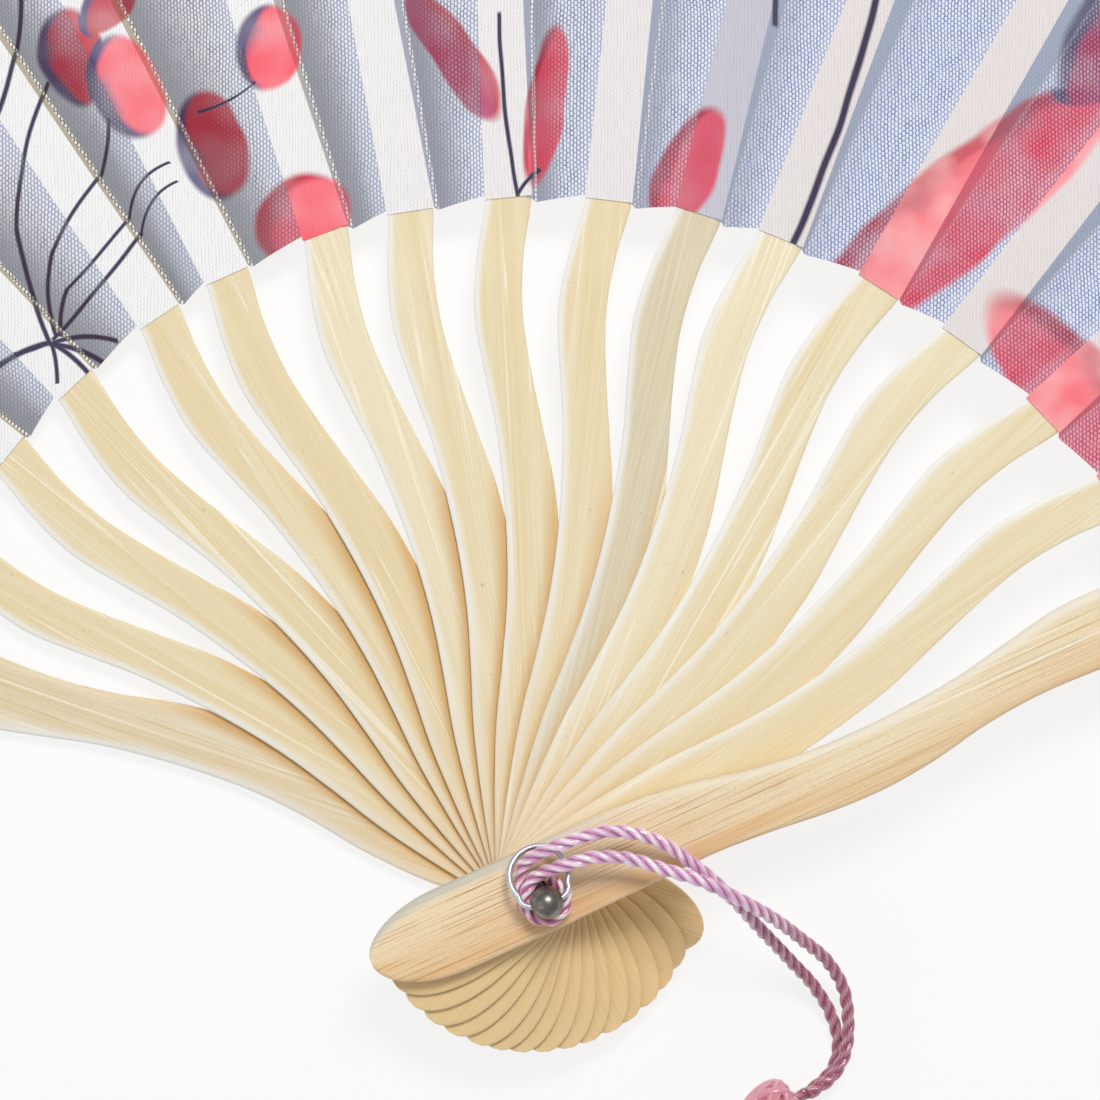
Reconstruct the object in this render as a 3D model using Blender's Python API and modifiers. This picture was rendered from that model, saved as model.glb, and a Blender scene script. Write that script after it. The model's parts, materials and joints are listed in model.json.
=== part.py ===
"""Folding hand fan: bamboo sticks on one pin, a pleated cloth leaf, and a tassel on a doubled cord.

The fan lies open and face up on a table.  The origin is on the pin's axis at the table's surface,
+Z is up along the pin, and each stick lies over its neighbour on the left, from the back guard at
the bottom of the stack to the front guard at the top.  Lengths are in metres, angles in degrees.
"""
import math

import bmesh
import bpy
from mathutils import Matrix, Vector

# Opening of the fan, from the front guard round to the back guard.
GUARD_AZIMUTH = 24.2
OPENINGS = (10.1, 8.6, 9.1, 8.2, 9.1, 7.1, 7.6, 8.4, 8.3, 7.4, 9.1, 6.7, 9.2, 8.2, 9.1, 10.4)
RIB_COUNT = len(OPENINGS) - 1

# The stack of sticks on the pin.
LAYER_GAP = 0.0003
GUARD_THICKNESS = 0.0026
GUARD_TIP_THICKNESS = 0.0018
RIB_THICKNESS = 0.0006
SLIP_THICKNESS = 0.0003          # a rib thins to a slip where the cloth is glued to it
RIB_PITCH = RIB_THICKNESS + LAYER_GAP
FIRST_RIB_HEIGHT = GUARD_THICKNESS + LAYER_GAP
FRONT_GUARD_HEIGHT = FIRST_RIB_HEIGHT + RIB_COUNT * RIB_PITCH
STACK_TOP = FRONT_GUARD_HEIGHT + GUARD_THICKNESS

# The cloth leaf, one pleat between each stick and the next.
LEAF_RADIUS = 0.188
LEAF_INNER_RADIUS = 0.0853
CLOTH_THICKNESS = 0.0002
CLOTH_HEIGHT = 0.0005            # above the underside of the slip that it lies on
THINNING = (0.076, 0.082)        # distances from the pin between which a rib thins to its slip
TIP_DROOP = 0.45                 # share of its height that a stick loses by the leaf's outer edge
STRIP_LENGTH = 0.010             # flat stretches that a drooping stick or pleat is made of

# Stick outlines: (distance from the pin, reach to the left, reach to the right).
RIB_STATIONS = (
    (0.0000, 0.0052, 0.0052), (0.0130, 0.0048, 0.0051), (0.0210, 0.0042, 0.0050),
    (0.0280, 0.0032, 0.0049), (0.0355, 0.0023, 0.0048), (0.0430, 0.0020, 0.0047),
    (0.0500, 0.0022, 0.0043), (0.0575, 0.0028, 0.0031), (0.0650, 0.0040, 0.0019),
    (0.0720, 0.0049, 0.0012), (0.0790, 0.0043, 0.0016), (0.0860, 0.0029, 0.0029),
    (0.1100, 0.0028, 0.0028), (0.1350, 0.0027, 0.0027), (0.1600, 0.0026, 0.0026),
)
RIB_END = (0.1840, 0.0024)
RIB_TAIL = 0.0214
GUARD_STATIONS = (
    (0.0000, 0.0051, 0.0056), (0.0150, 0.0050, 0.0052), (0.0225, 0.0041, 0.0050),
    (0.0300, 0.0026, 0.0055), (0.0370, 0.0017, 0.0062), (0.0440, 0.0015, 0.0064),
    (0.0515, 0.0018, 0.0057), (0.0585, 0.0025, 0.0044), (0.0660, 0.0039, 0.0037),
    (0.0730, 0.0051, 0.0038), (0.0800, 0.0052, 0.0043), (0.0900, 0.0053, 0.0050),
    (0.1150, 0.0060, 0.0060), (0.1400, 0.0066, 0.0066), (0.1650, 0.0069, 0.0069),
)
GUARD_END = (0.1900, 0.0066)
GUARD_TAIL = 0.0224
TAIL_ROUNDING = 0.0108           # length of the half ellipse that ends a stick's tail

# The pin, its ball and the washer under its riveted end.
PIN_RADIUS = 0.0011
PIN_HOLE_RADIUS = 0.0014
RIVET_RADIUS = 0.0020
RIVET_HEIGHT = 0.0004
WASHER = (0.00065, 0.0010, 0.0014, 0.0026)      # bottom, top, inner radius, outer radius
COUNTERBORE = (0.0013, 0.0030)                  # depth, radius
BALL_CENTRE = Vector((0.00127, -0.00116, 0.0236))
BALL_RADIUS = 0.00205
NECK_RADIUS = 0.0008
BALL_HOLE_RADIUS = 0.00055

# The ring that hangs from the ball.
RING_RADIUS = 0.00365
RING_WIRE_RADIUS = 0.000375
RING_TIP_REACH = 0.0009          # how far from the ball's centre each wire end stops
RING_AXIS_AZIMUTH = 17.0
RING_TILT = 20.0

# The doubled cord, hitched round the neck below the ball, and its tassel on the table.
CORD_TUBE_RADIUS = 0.00075
CORD_POINT_SPACING = 0.0015
HITCH_START = 60.0               # both strands start their turn round the neck at this azimuth
LOWER_TURN = (0.00045, -0.00040, 0.0200, 0.0022, -185.0)     # centre x, y, height, radius, end azimuth
UPPER_TURN = (0.00110, -0.00100, 0.0217, 0.0025, -205.0)
OUTER_STRAND = (
    (-0.0020, 0.0016, 0.0205), (-0.0017, 0.0031, 0.0216), (-0.0006, 0.0043, 0.0229),
    (0.0010, 0.0052, 0.0239), (0.0035, 0.0062, 0.0246), (0.0062, 0.0071, 0.0248),
    (0.0090, 0.0076, 0.0244), (0.0145, 0.0064, 0.0230), (0.0188, 0.0036, 0.0209),
    (0.0210, 0.0018, 0.0200), (0.0241, -0.0012, 0.0176), (0.0278, -0.0054, 0.0130),
    (0.0322, -0.0103, 0.0072), (0.0355, -0.0141, 0.0034), (0.0377, -0.0179, 0.0014),
    (0.0386, -0.0214, 0.0010), (0.0378, -0.0248, 0.0011), (0.0357, -0.0268, 0.0018),
    (0.0345, -0.0276, 0.0024),
)
INNER_STRAND = (
    (-0.0006, 0.0014, 0.0220), (0.0005, 0.0023, 0.0227), (0.0021, 0.0030, 0.0236),
    (0.0041, 0.0037, 0.0244), (0.0065, 0.0044, 0.0247), (0.0102, 0.0044, 0.0243),
    (0.0158, 0.0028, 0.0234), (0.0201, 0.0014, 0.0227), (0.0240, -0.0006, 0.0211),
    (0.0285, -0.0033, 0.0171), (0.0332, -0.0070, 0.0113), (0.0371, -0.0107, 0.0066),
    (0.0392, -0.0147, 0.0039), (0.0397, -0.0187, 0.0032), (0.0392, -0.0227, 0.0031),
    (0.0376, -0.0254, 0.0034), (0.0356, -0.0268, 0.0041), (0.0345, -0.0274, 0.0046),
)
KNOT_CENTRE = Vector((0.0299, -0.0298, 0.0041))
KNOT_RADII = (0.0042, 0.0040, 0.0040)
TASSEL_AZIMUTH = 228.0
TASSEL_HEAD = (0.0046, 0.0126, 0.0031)          # start and end along the tassel, and radius
TASSEL_SKIRT = (0.0129, 0.0660, 0.0030, 0.0062)  # start, end, and radius at each
SKIRT_FLATNESS = 0.55            # the skirt spreads on the table, so it is wider than it is high


def clear_scene():
    """Remove every object, so that the model starts from nothing."""
    for item in list(bpy.data.objects):
        bpy.data.objects.remove(item, do_unlink=True)


def new_collection(name):
    """Add a collection to the scene."""
    collection = bpy.data.collections.new(name)
    bpy.context.scene.collection.children.link(collection)
    return collection


def new_material(name, colour, roughness, metallic=0.0):
    """A Principled material with a plain colour."""
    material = bpy.data.materials.new(name)
    material.use_nodes = True
    shader = material.node_tree.nodes["Principled BSDF"]
    shader.inputs["Base Color"].default_value = (*colour, 1.0)
    shader.inputs["Roughness"].default_value = roughness
    shader.inputs["Metallic"].default_value = metallic
    return material


def add_object(name, data, material, collection=None):
    """Put a mesh or a curve in the fan's collection under its own name."""
    item = bpy.data.objects.new(name, data)
    (collection or fan).objects.link(item)
    if material:
        data.materials.append(material)
    return item


def curve_to_mesh(curve):
    """The closed mesh of a curve, with its loose caps welded on; the curve is used up."""
    holder = bpy.data.objects.new("outline", curve)
    fan.objects.link(holder)
    depsgraph = bpy.context.evaluated_depsgraph_get()
    mesh = bpy.data.meshes.new_from_object(holder.evaluated_get(depsgraph))
    bpy.data.objects.remove(holder)
    shape = bmesh.new()
    shape.from_mesh(mesh)
    bmesh.ops.remove_doubles(shape, verts=shape.verts, dist=1e-6)
    bmesh.ops.recalc_face_normals(shape, faces=shape.faces)
    shape.to_mesh(mesh)
    shape.free()
    return mesh


def cross_cut(mesh, spacing):
    """Redraw a flat plate's faces as strips across +X, so that it can bend along its length."""
    shape = bmesh.new()
    shape.from_mesh(mesh)
    bmesh.ops.dissolve_limit(shape, angle_limit=math.radians(1.0), verts=shape.verts, edges=shape.edges)
    reach = [vertex.co.x for vertex in shape.verts]
    for place in range(math.ceil(min(reach) / spacing), math.ceil(max(reach) / spacing)):
        everything = shape.verts[:] + shape.edges[:] + shape.faces[:]
        bmesh.ops.bisect_plane(shape, geom=everything, plane_co=(place * spacing, 0.0, 0.0),
                               plane_no=(1.0, 0.0, 0.0), dist=1e-7)
    shape.to_mesh(mesh)
    shape.free()


def droop(distance):
    """Share of its height that a layer keeps at a distance from the pin."""
    return 1.0 - TIP_DROOP * (distance / LEAF_RADIUS) ** 2


def ramp(distance, start, end):
    """0 before start, 1 after end, and a straight ramp between them."""
    return min(1.0, max(0.0, (distance - start) / (end - start)))


def rib_thickness(distance):
    return RIB_THICKNESS + (SLIP_THICKNESS - RIB_THICKNESS) * ramp(distance, *THINNING)


def guard_thickness(distance):
    """A guard gives up the cloth's room first, then thins evenly to its tip."""
    room = (CLOTH_HEIGHT - LAYER_GAP) * 2.0 * ramp(distance, *THINNING)
    taper = (GUARD_THICKNESS - GUARD_TIP_THICKNESS - room) * ramp(distance, 0.09, GUARD_END[0])
    return GUARD_THICKNESS - room - taper


def cloth_thickness(distance):
    return CLOTH_THICKNESS


def lay_in_stack(mesh, height, thickness):
    """Shape a plate one unit thick into a layer that starts at a height and droops outwards."""
    for vertex in mesh.vertices:
        distance = math.hypot(vertex.co.x, vertex.co.y)
        share = vertex.co.z + 0.5
        vertex.co.z = droop(distance) * (height + share * thickness(distance))


def plate_curve(name, resolution):
    """An empty filled outline, one unit thick."""
    curve = bpy.data.curves.new(name, "CURVE")
    curve.dimensions = "2D"
    curve.fill_mode = "BOTH"
    curve.extrude = 0.5
    curve.resolution_u = resolution
    return curve


def add_polygon(curve, points):
    """Add one closed loop with straight sides to an outline."""
    spline = curve.splines.new("POLY")
    spline.points.add(len(points) - 1)
    for corner, (x, y) in zip(spline.points, points):
        corner.co = (x, y, 0.0, 1.0)
    spline.use_cyclic_u = True


def arc(radius, start, end, count):
    """Evenly spaced points along an arc about the origin."""
    angles = [math.radians(start + (end - start) * i / (count - 1)) for i in range(count)]
    return [(radius * math.cos(a), radius * math.sin(a)) for a in angles]


def stick_outline(stations, end, tail):
    """Loop round a stick that points along +X: its tail, right side, square end and left side."""
    left, right = stations[0][1], stations[0][2]
    shoulder = -(tail - TAIL_ROUNDING)
    turns = [math.radians(a) for a in (65.0, 40.0, 18.0)]
    right_tail = [(shoulder - TAIL_ROUNDING * math.cos(t), -right * math.sin(t)) for t in turns[::-1]]
    left_tail = [(shoulder - TAIL_ROUNDING * math.cos(t), left * math.sin(t)) for t in turns]
    right_side = [(distance, -reach) for distance, _, reach in stations]
    left_side = [(distance, reach) for distance, reach, _ in reversed(stations)]
    corners = [(end[0], -end[1]), (end[0], end[1])]
    smooth = [(-tail, 0.0)] + right_tail + [(shoulder, -right)] + right_side
    return smooth, corners, left_side + [(shoulder, left)] + left_tail


def make_stick(name, azimuth, outline, height, thickness, material):
    """One stick of the fan, turned about the pin to its place."""
    before, corners, after = outline
    curve = plate_curve(name, 2)
    spline = curve.splines.new("BEZIER")
    points = before + corners + after
    spline.bezier_points.add(len(points) - 1)
    for point, (x, y) in zip(spline.bezier_points, points):
        point.co = (x, y, 0.0)
        kind = "VECTOR" if (x, y) in corners else "AUTO"
        point.handle_left_type = kind
        point.handle_right_type = kind
    spline.use_cyclic_u = True
    add_polygon(curve, arc(PIN_HOLE_RADIUS, 0.0, 330.0, 12))
    mesh = curve_to_mesh(curve)
    cross_cut(mesh, STRIP_LENGTH)
    lay_in_stack(mesh, height, thickness)
    stick = add_object(name, mesh, material)
    stick.rotation_euler.z = math.radians(azimuth)
    return stick


def make_pleat(name, opening, height, stick, material):
    """Cloth from a stick to its neighbour on the left, fixed to the stick's own frame."""
    depth = LEAF_RADIUS - LEAF_INNER_RADIUS
    steps = [LEAF_INNER_RADIUS + depth * share for share in (0.25, 0.5, 0.75)]
    side = [arc(radius, 0.0, opening, 2) for radius in steps]
    outer = arc(LEAF_RADIUS, 0.0, opening, 5)
    inner = arc(LEAF_INNER_RADIUS, opening, 0.0, 5)
    curve = plate_curve(name, 1)
    add_polygon(curve, [s[0] for s in side] + outer + [s[1] for s in reversed(side)] + inner)
    mesh = curve_to_mesh(curve)
    cross_cut(mesh, STRIP_LENGTH)
    lay_in_stack(mesh, height, cloth_thickness)
    pleat = add_object(name, mesh, material)
    pleat.parent = stick
    return pleat


def make_sticks():
    """Both guards, the ribs between them, and the cloth from each stick to the next."""
    rib_outline = stick_outline(RIB_STATIONS, RIB_END, RIB_TAIL)
    guard_outline = stick_outline(GUARD_STATIONS, GUARD_END, GUARD_TAIL)
    azimuth = GUARD_AZIMUTH
    stick = make_stick("front_guard", azimuth, guard_outline, FRONT_GUARD_HEIGHT, guard_thickness,
                       guard_wood)
    for place, opening in enumerate(OPENINGS):
        number = RIB_COUNT - place
        cloth_height = FIRST_RIB_HEIGHT + (number - 1) * RIB_PITCH + CLOTH_HEIGHT
        make_pleat(f"leaf_pleat_{number + 1:02d}", opening, cloth_height, stick, cloth)
        azimuth += opening
        if number:
            height = FIRST_RIB_HEIGHT + (number - 1) * RIB_PITCH
            stick = make_stick(f"rib_{number:02d}", azimuth, rib_outline, height, rib_thickness, rib_wood)
    back = make_stick("back_guard", azimuth, guard_outline, 0.0, guard_thickness, guard_wood)
    depth, radius = COUNTERBORE
    cutter = make_cylinder("counterbore_cutter", radius, (0.0, 0.0, -depth), (0.0, 0.0, depth), 24,
                           None, cutters)
    cut(back, cutter, "DIFFERENCE")


def make_cylinder(name, radius, start, end, segments, material, collection=None):
    """A capped cylinder from one point to another."""
    start, end = Vector(start), Vector(end)
    shape = bmesh.new()
    bmesh.ops.create_cone(shape, cap_ends=True, segments=segments, radius1=radius, radius2=radius,
                          depth=(end - start).length)
    mesh = bpy.data.meshes.new(name)
    shape.to_mesh(mesh)
    shape.free()
    item = add_object(name, mesh, material, collection)
    item.location = (start + end) / 2.0
    item.rotation_euler = (end - start).to_track_quat("Z", "Y").to_euler()
    return item


def make_ball(name, radii, centre, segments, rings, material, collection=None):
    """A ball, or an ellipsoid with three radii."""
    shape = bmesh.new()
    bmesh.ops.create_uvsphere(shape, u_segments=segments, v_segments=rings, radius=1.0)
    bmesh.ops.scale(shape, vec=radii, verts=shape.verts)
    mesh = bpy.data.meshes.new(name)
    shape.to_mesh(mesh)
    shape.free()
    mesh.shade_smooth()
    item = add_object(name, mesh, material, collection)
    item.location = centre
    return item


def cut(target, tool, operation):
    """Cut the tool from the target, or join it on; the tool stays as a wire guide."""
    tool.hide_render = True
    tool.display_type = "WIRE"
    modifier = target.modifiers.new(tool.name, "BOOLEAN")
    modifier.operation = operation
    modifier.object = tool


def turn_profile(name, profile, steps, material):
    """Turn a profile, given from its top down its outer side, about the Z axis."""
    mesh = bpy.data.meshes.new(name)
    mesh.from_pydata([(x, 0.0, z) for x, z in profile], [(i, i + 1) for i in range(len(profile) - 1)], [])
    item = add_object(name, mesh, material)
    screw = item.modifiers.new("turn", "SCREW")
    screw.steps = steps
    screw.render_steps = steps
    screw.use_merge_vertices = True
    screw.merge_threshold = 1e-6
    return item


def make_pin():
    """The riveted pin with its leaning neck and drilled ball, and the washer on its back end."""
    top = STACK_TOP + LAYER_GAP
    profile = [(0.0, top), (PIN_RADIUS, top), (PIN_RADIUS, RIVET_HEIGHT), (RIVET_RADIUS, RIVET_HEIGHT),
               (RIVET_RADIUS, 0.0), (0.0, 0.0)]
    pin = turn_profile("pivot_pin", profile, 20, steel)
    neck_foot = (0.0, 0.0, STACK_TOP - GUARD_THICKNESS / 2.0)
    neck = make_cylinder("neck_tool", NECK_RADIUS, neck_foot, BALL_CENTRE, 14, None, cutters)
    ball = make_ball("ball_tool", (BALL_RADIUS,) * 3, BALL_CENTRE, 20, 12, None, cutters)
    reach = ring_axis() * BALL_RADIUS * 1.5
    drill = make_cylinder("ring_hole_cutter", BALL_HOLE_RADIUS, BALL_CENTRE - reach, BALL_CENTRE + reach,
                          12, None, cutters)
    cut(pin, neck, "UNION")
    cut(pin, ball, "UNION")
    cut(pin, drill, "DIFFERENCE")
    bottom, top, inner, outer = WASHER
    turn_profile("rivet_washer", [(inner, top), (outer, top), (outer, bottom), (inner, bottom), (inner, top)],
                 24, steel)


def ring_axis():
    """Direction of the line that the ring swings about, through the ball."""
    azimuth = math.radians(RING_AXIS_AZIMUTH)
    return Vector((math.cos(azimuth), math.sin(azimuth), 0.0))


def wire(name, points, radius, material):
    """A round wire or cord along a run of points."""
    curve = bpy.data.curves.new(name, "CURVE")
    curve.dimensions = "3D"
    curve.bevel_depth = radius
    curve.bevel_resolution = 2
    curve.use_fill_caps = True
    spline = curve.splines.new("POLY")
    spline.points.add(len(points) - 1)
    for target, point in zip(spline.points, points):
        target.co = (*point, 1.0)
    return add_object(name, curve, material)


def make_ring():
    """An open ring of wire whose two ends turn into the ball's cross hole."""
    tips = [(RING_TIP_REACH, 0.0, 0.0), (0.0019, 0.00005, 0.0), (0.0026, 0.0004, 0.0), (0.0031, 0.0011, 0.0)]
    turn = [math.radians(-30.0 + 240.0 * i / 20) for i in range(21)]
    bend = [(RING_RADIUS * math.cos(a), RING_RADIUS * (1.0 + math.sin(a)), 0.0) for a in turn]
    points = tips + bend + [(-x, y, z) for x, y, z in reversed(tips)]
    ring = wire("ring_bail", points, RING_WIRE_RADIUS, steel)
    across = ring_axis()
    level = Vector((0.0, 0.0, 1.0)).cross(across)
    tilt = math.radians(RING_TILT)
    out = level * math.cos(tilt) - Vector((0.0, 0.0, math.sin(tilt)))
    ring.location = BALL_CENTRE
    ring.rotation_euler = Matrix((across, out, across.cross(out))).transposed().to_euler()


def smooth_path(points, spacing):
    """Evenly spaced points along a smooth curve through the given points."""
    points = [Vector(p) for p in points]
    spans = [(b - a).length for a, b in zip(points, points[1:])]
    slopes = [(points[1] - points[0]) / spans[0]]
    for i in range(1, len(points) - 1):
        before = (points[i] - points[i - 1]) / spans[i - 1]
        after = (points[i + 1] - points[i]) / spans[i]
        slopes.append((before * spans[i] + after * spans[i - 1]) / (spans[i] + spans[i - 1]))
    slopes.append((points[-1] - points[-2]) / spans[-1])
    fine = [points[0]]
    for i, span in enumerate(spans):
        for step in range(1, 13):
            t = step / 12.0
            fine.append(points[i] * (2 * t ** 3 - 3 * t ** 2 + 1) + points[i + 1] * (3 * t ** 2 - 2 * t ** 3)
                        + slopes[i] * span * (t ** 3 - 2 * t ** 2 + t) + slopes[i + 1] * span * (t ** 3 - t ** 2))
    total = sum((b - a).length for a, b in zip(fine, fine[1:]))
    count = max(2, round(total / spacing))
    even, walked, goal = [fine[0]], 0.0, total / count
    for a, b in zip(fine, fine[1:]):
        step = (b - a).length
        while walked + step >= goal and len(even) < count:
            even.append(a.lerp(b, (goal - walked) / step))
            goal += total / count
        walked += step
    return even + [fine[-1]]


def hitch_turn(turn):
    """The turn that a strand takes round the neck before it leaves the hitch, clockwise."""
    x, y, height, radius, end = turn
    angles = [math.radians(HITCH_START + (end - HITCH_START) * i / 12) for i in range(13)]
    return [(x + radius * math.cos(a), y + radius * math.sin(a), height) for a in angles]


def make_cord():
    """The two strands of the doubled cord, each from the hitch to the tassel's knot."""
    for name, turn, route in (("cord_strand_outer", LOWER_TURN, OUTER_STRAND),
                              ("cord_strand_inner", UPPER_TURN, INNER_STRAND)):
        points = smooth_path(hitch_turn(turn) + list(route), CORD_POINT_SPACING)
        wire(name, points, CORD_TUBE_RADIUS, satin)


def make_tassel():
    """The knot that gathers the cord, the bound head below it, and the skirt of threads."""
    azimuth = math.radians(TASSEL_AZIMUTH)
    along = Vector((math.cos(azimuth), math.sin(azimuth), 0.0))
    knot = make_ball("tassel_knot", KNOT_RADII, KNOT_CENTRE, 20, 12, satin)
    knot.rotation_euler.z = azimuth
    start, end, radius = TASSEL_HEAD
    level = Vector((KNOT_CENTRE.x, KNOT_CENTRE.y, radius + LAYER_GAP))
    head = make_cylinder("tassel_head", radius, level + along * start, level + along * end, 20, satin)
    rounding = head.modifiers.new("rounding", "BEVEL")
    rounding.width = 0.0008
    rounding.segments = 2
    start, end, near_radius, far_radius = TASSEL_SKIRT
    shape = bmesh.new()
    bmesh.ops.create_cone(shape, cap_ends=True, segments=24, radius1=near_radius, radius2=far_radius,
                          depth=end - start)
    bmesh.ops.scale(shape, vec=(SKIRT_FLATNESS, 1.0, 1.0), verts=shape.verts)
    mesh = bpy.data.meshes.new("tassel_skirt")
    shape.to_mesh(mesh)
    shape.free()
    skirt = add_object("tassel_skirt", mesh, satin)
    middle = Vector((KNOT_CENTRE.x, KNOT_CENTRE.y, far_radius * SKIRT_FLATNESS + LAYER_GAP))
    skirt.location = middle + along * (start + end) / 2.0
    up = Vector((0.0, 0.0, 1.0))
    skirt.rotation_euler = Matrix((up, along.cross(up), along)).transposed().to_euler()


clear_scene()
fan = new_collection("folding_fan")
cutters = new_collection("cutters")
rib_wood = new_material("rib_bamboo", (0.85, 0.72, 0.50), 0.45)
guard_wood = new_material("guard_bamboo", (0.80, 0.62, 0.38), 0.40)
cloth = new_material("leaf_cloth", (0.80, 0.79, 0.82), 0.85)
steel = new_material("steel", (0.45, 0.45, 0.46), 0.25, 1.0)
satin = new_material("satin_cord", (0.58, 0.26, 0.42), 0.35)
make_sticks()
make_pin()
make_ring()
make_cord()
make_tassel()
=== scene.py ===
"""Looks of the bamboo folding fan: woven pleats with a painted print, bamboo sticks, steel and silk cord.

Lengths are in metres unless a comment says mm, and angles are in degrees. The materials read UV layers
whose distances are in mm. Each stick, pleat and strand is built in the CAD model's own frame: the pin's
axis is Z and the table is z = 0.
"""

import json
import math
import random

import bmesh
import bpy
import numpy as np
from mathutils import Matrix, Vector

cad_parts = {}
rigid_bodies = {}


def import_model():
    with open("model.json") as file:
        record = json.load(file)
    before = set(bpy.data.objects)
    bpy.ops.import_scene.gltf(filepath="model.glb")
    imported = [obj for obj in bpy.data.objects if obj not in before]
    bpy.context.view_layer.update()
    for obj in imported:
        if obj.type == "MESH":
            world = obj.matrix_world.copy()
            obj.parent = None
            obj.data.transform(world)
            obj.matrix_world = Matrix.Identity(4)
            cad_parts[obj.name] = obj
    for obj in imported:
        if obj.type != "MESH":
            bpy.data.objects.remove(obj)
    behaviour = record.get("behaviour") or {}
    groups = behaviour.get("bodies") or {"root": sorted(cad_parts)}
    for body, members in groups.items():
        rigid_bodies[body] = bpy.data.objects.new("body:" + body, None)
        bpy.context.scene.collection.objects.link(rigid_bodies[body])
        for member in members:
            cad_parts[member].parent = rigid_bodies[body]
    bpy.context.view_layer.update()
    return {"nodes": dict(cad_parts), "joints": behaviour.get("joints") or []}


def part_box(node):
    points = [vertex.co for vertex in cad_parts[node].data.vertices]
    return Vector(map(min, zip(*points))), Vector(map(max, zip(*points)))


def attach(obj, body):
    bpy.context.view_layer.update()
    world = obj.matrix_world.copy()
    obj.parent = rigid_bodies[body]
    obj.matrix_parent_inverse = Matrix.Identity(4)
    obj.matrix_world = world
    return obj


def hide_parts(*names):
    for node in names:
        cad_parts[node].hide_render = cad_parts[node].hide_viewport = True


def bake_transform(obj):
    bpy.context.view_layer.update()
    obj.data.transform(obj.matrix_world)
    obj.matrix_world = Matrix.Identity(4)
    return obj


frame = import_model()

MM = 0.001

# The camera looks straight down on the sticks and the inner part of the leaf.
CAMERA_PLACE = (1.638 * MM, 41.832 * MM, 459.0 * MM)
CAMERA_LENS = 116.88
CAMERA_SENSOR = 36.0

# The stack of sticks, as in the CAD model.
GUARD_AZIMUTH = 24.2
RIB_THICKNESS = 0.60 * MM
SLIP_THICKNESS = 0.30 * MM
GUARD_THICKNESS = 2.60 * MM
GUARD_TIP_THICKNESS = 1.80 * MM
GUARD_ROOM = 0.40 * MM           # what a guard gives up where the cloth is glued to it
THINNING = (76.0 * MM, 82.0 * MM)          # where a stick thins down to its slip
GUARD_TAPER_START = 90.0 * MM
LEAF_RADIUS = 188.0 * MM
TIP_DROOP = 0.45                 # share of its height that the stack loses at the tips

# Stick outlines, as in the CAD model: (distance from the pin, reach to the left, reach to the right), in mm.
RIB_STATIONS = (
    (0, 5.2, 5.2), (13, 4.8, 5.1), (21, 4.2, 5), (28, 3.2, 4.9), (35.5, 2.3, 4.8),
    (43, 2, 4.7), (50, 2.2, 4.3), (57.5, 2.8, 3.1), (65, 4, 1.9), (72, 4.9, 1.2),
    (79, 4.3, 1.6), (86, 2.9, 2.9), (110, 2.8, 2.8), (135, 2.7, 2.7), (160, 2.6, 2.6),
    (184, 2.4, 2.4),
)
GUARD_STATIONS = (
    (0, 5.1, 5.6), (15, 5, 5.2), (22.5, 4.1, 5), (30, 2.6, 5.5), (37, 1.7, 6.2),
    (44, 1.5, 6.4), (51.5, 1.8, 5.7), (58.5, 2.5, 4.4), (66, 3.9, 3.7), (73, 5.1, 3.8),
    (80, 5.2, 4.3), (90, 5.3, 5), (115, 6, 6), (140, 6.6, 6.6), (165, 6.9, 6.9),
    (190, 6.6, 6.6),
)
RIB_TAIL = 21.4 * MM
GUARD_TAIL = 22.4 * MM
TAIL_ROUNDING = 10.8 * MM
SECTION_SPACING = 1.6 * MM
HOLE_RADIUS = 1.4 * MM

# Heights of the cloth above the underside of the slip that carries it.
STRIP_HEIGHT = 0.50 * MM
PANEL_HEIGHT = 0.38 * MM
STRIP_CLOTH = 0.10 * MM
PANEL_CLOTH = 0.06 * MM
LEAF_START = 86.3 * MM
TUCK = 0.8 * MM                  # how far a panel runs under the strips beside it
FOLD_START, FOLD_LIMIT = 0.42, 0.85          # mm that a fold is deep, at the leaf's inner edge and at most
FOLD_GROWTH = 0.016                          # mm deeper for each mm outwards
BACK_STRIP_LIFT, BACK_PANEL_LIFT = 0.20 * MM, 0.08 * MM          # above the back guard
FRONT_STRIP_DROP, FRONT_PANEL_DROP = 0.05 * MM, 0.22 * MM        # below the front guard
FOLD_CLEARANCE = 0.06 * MM       # between a fold and the cloth under it
TABLE_CLEARANCE = 0.75 * MM

# The ball, its neck and the ring, as in the CAD model.
BALL_CENTRE = Vector((1.27, -1.16, 23.6)) * MM
BALL_RADIUS = 2.05 * MM
NECK_RADIUS = 0.8 * MM
BALL_HOLE_RADIUS = 0.55 * MM
RING_RADIUS = 3.65 * MM
RING_WIRE_RADIUS = 0.375 * MM
RING_AXIS_AZIMUTH = 17.0
RING_TILT = 20.0
STEEL_EDGE = 35.0                # steel edges sharper than this stay crisp

# The cord's two strands, by the same points as the CAD model's tubes, in mm.
HITCH_START = 60
LOWER_TURN = (0.45, -0.40, 20, 2.2, -185)    # centre x, y, height, radius, end azimuth
UPPER_TURN = (1.10, -1.00, 21.7, 2.5, -205)
OUTER_STRAND = (
    (-2, 1.6, 20.5), (-1.7, 3.1, 21.6), (-0.6, 4.3, 22.9), (1, 5.2, 23.9), (3.5, 6.2, 24.6),
    (6.2, 7.1, 24.8), (9, 7.6, 24.4), (14.5, 6.4, 23), (18.8, 3.6, 20.9), (21, 1.8, 20),
    (24.1, -1.2, 17.6), (27.8, -5.4, 13), (32.2, -10.3, 7.2), (35.5, -14.1, 3.4), (37.7, -17.9, 1.4),
    (38.6, -21.4, 1), (37.8, -24.8, 1.1), (35.7, -26.8, 1.8), (34.5, -27.6, 2.4),
)
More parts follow.
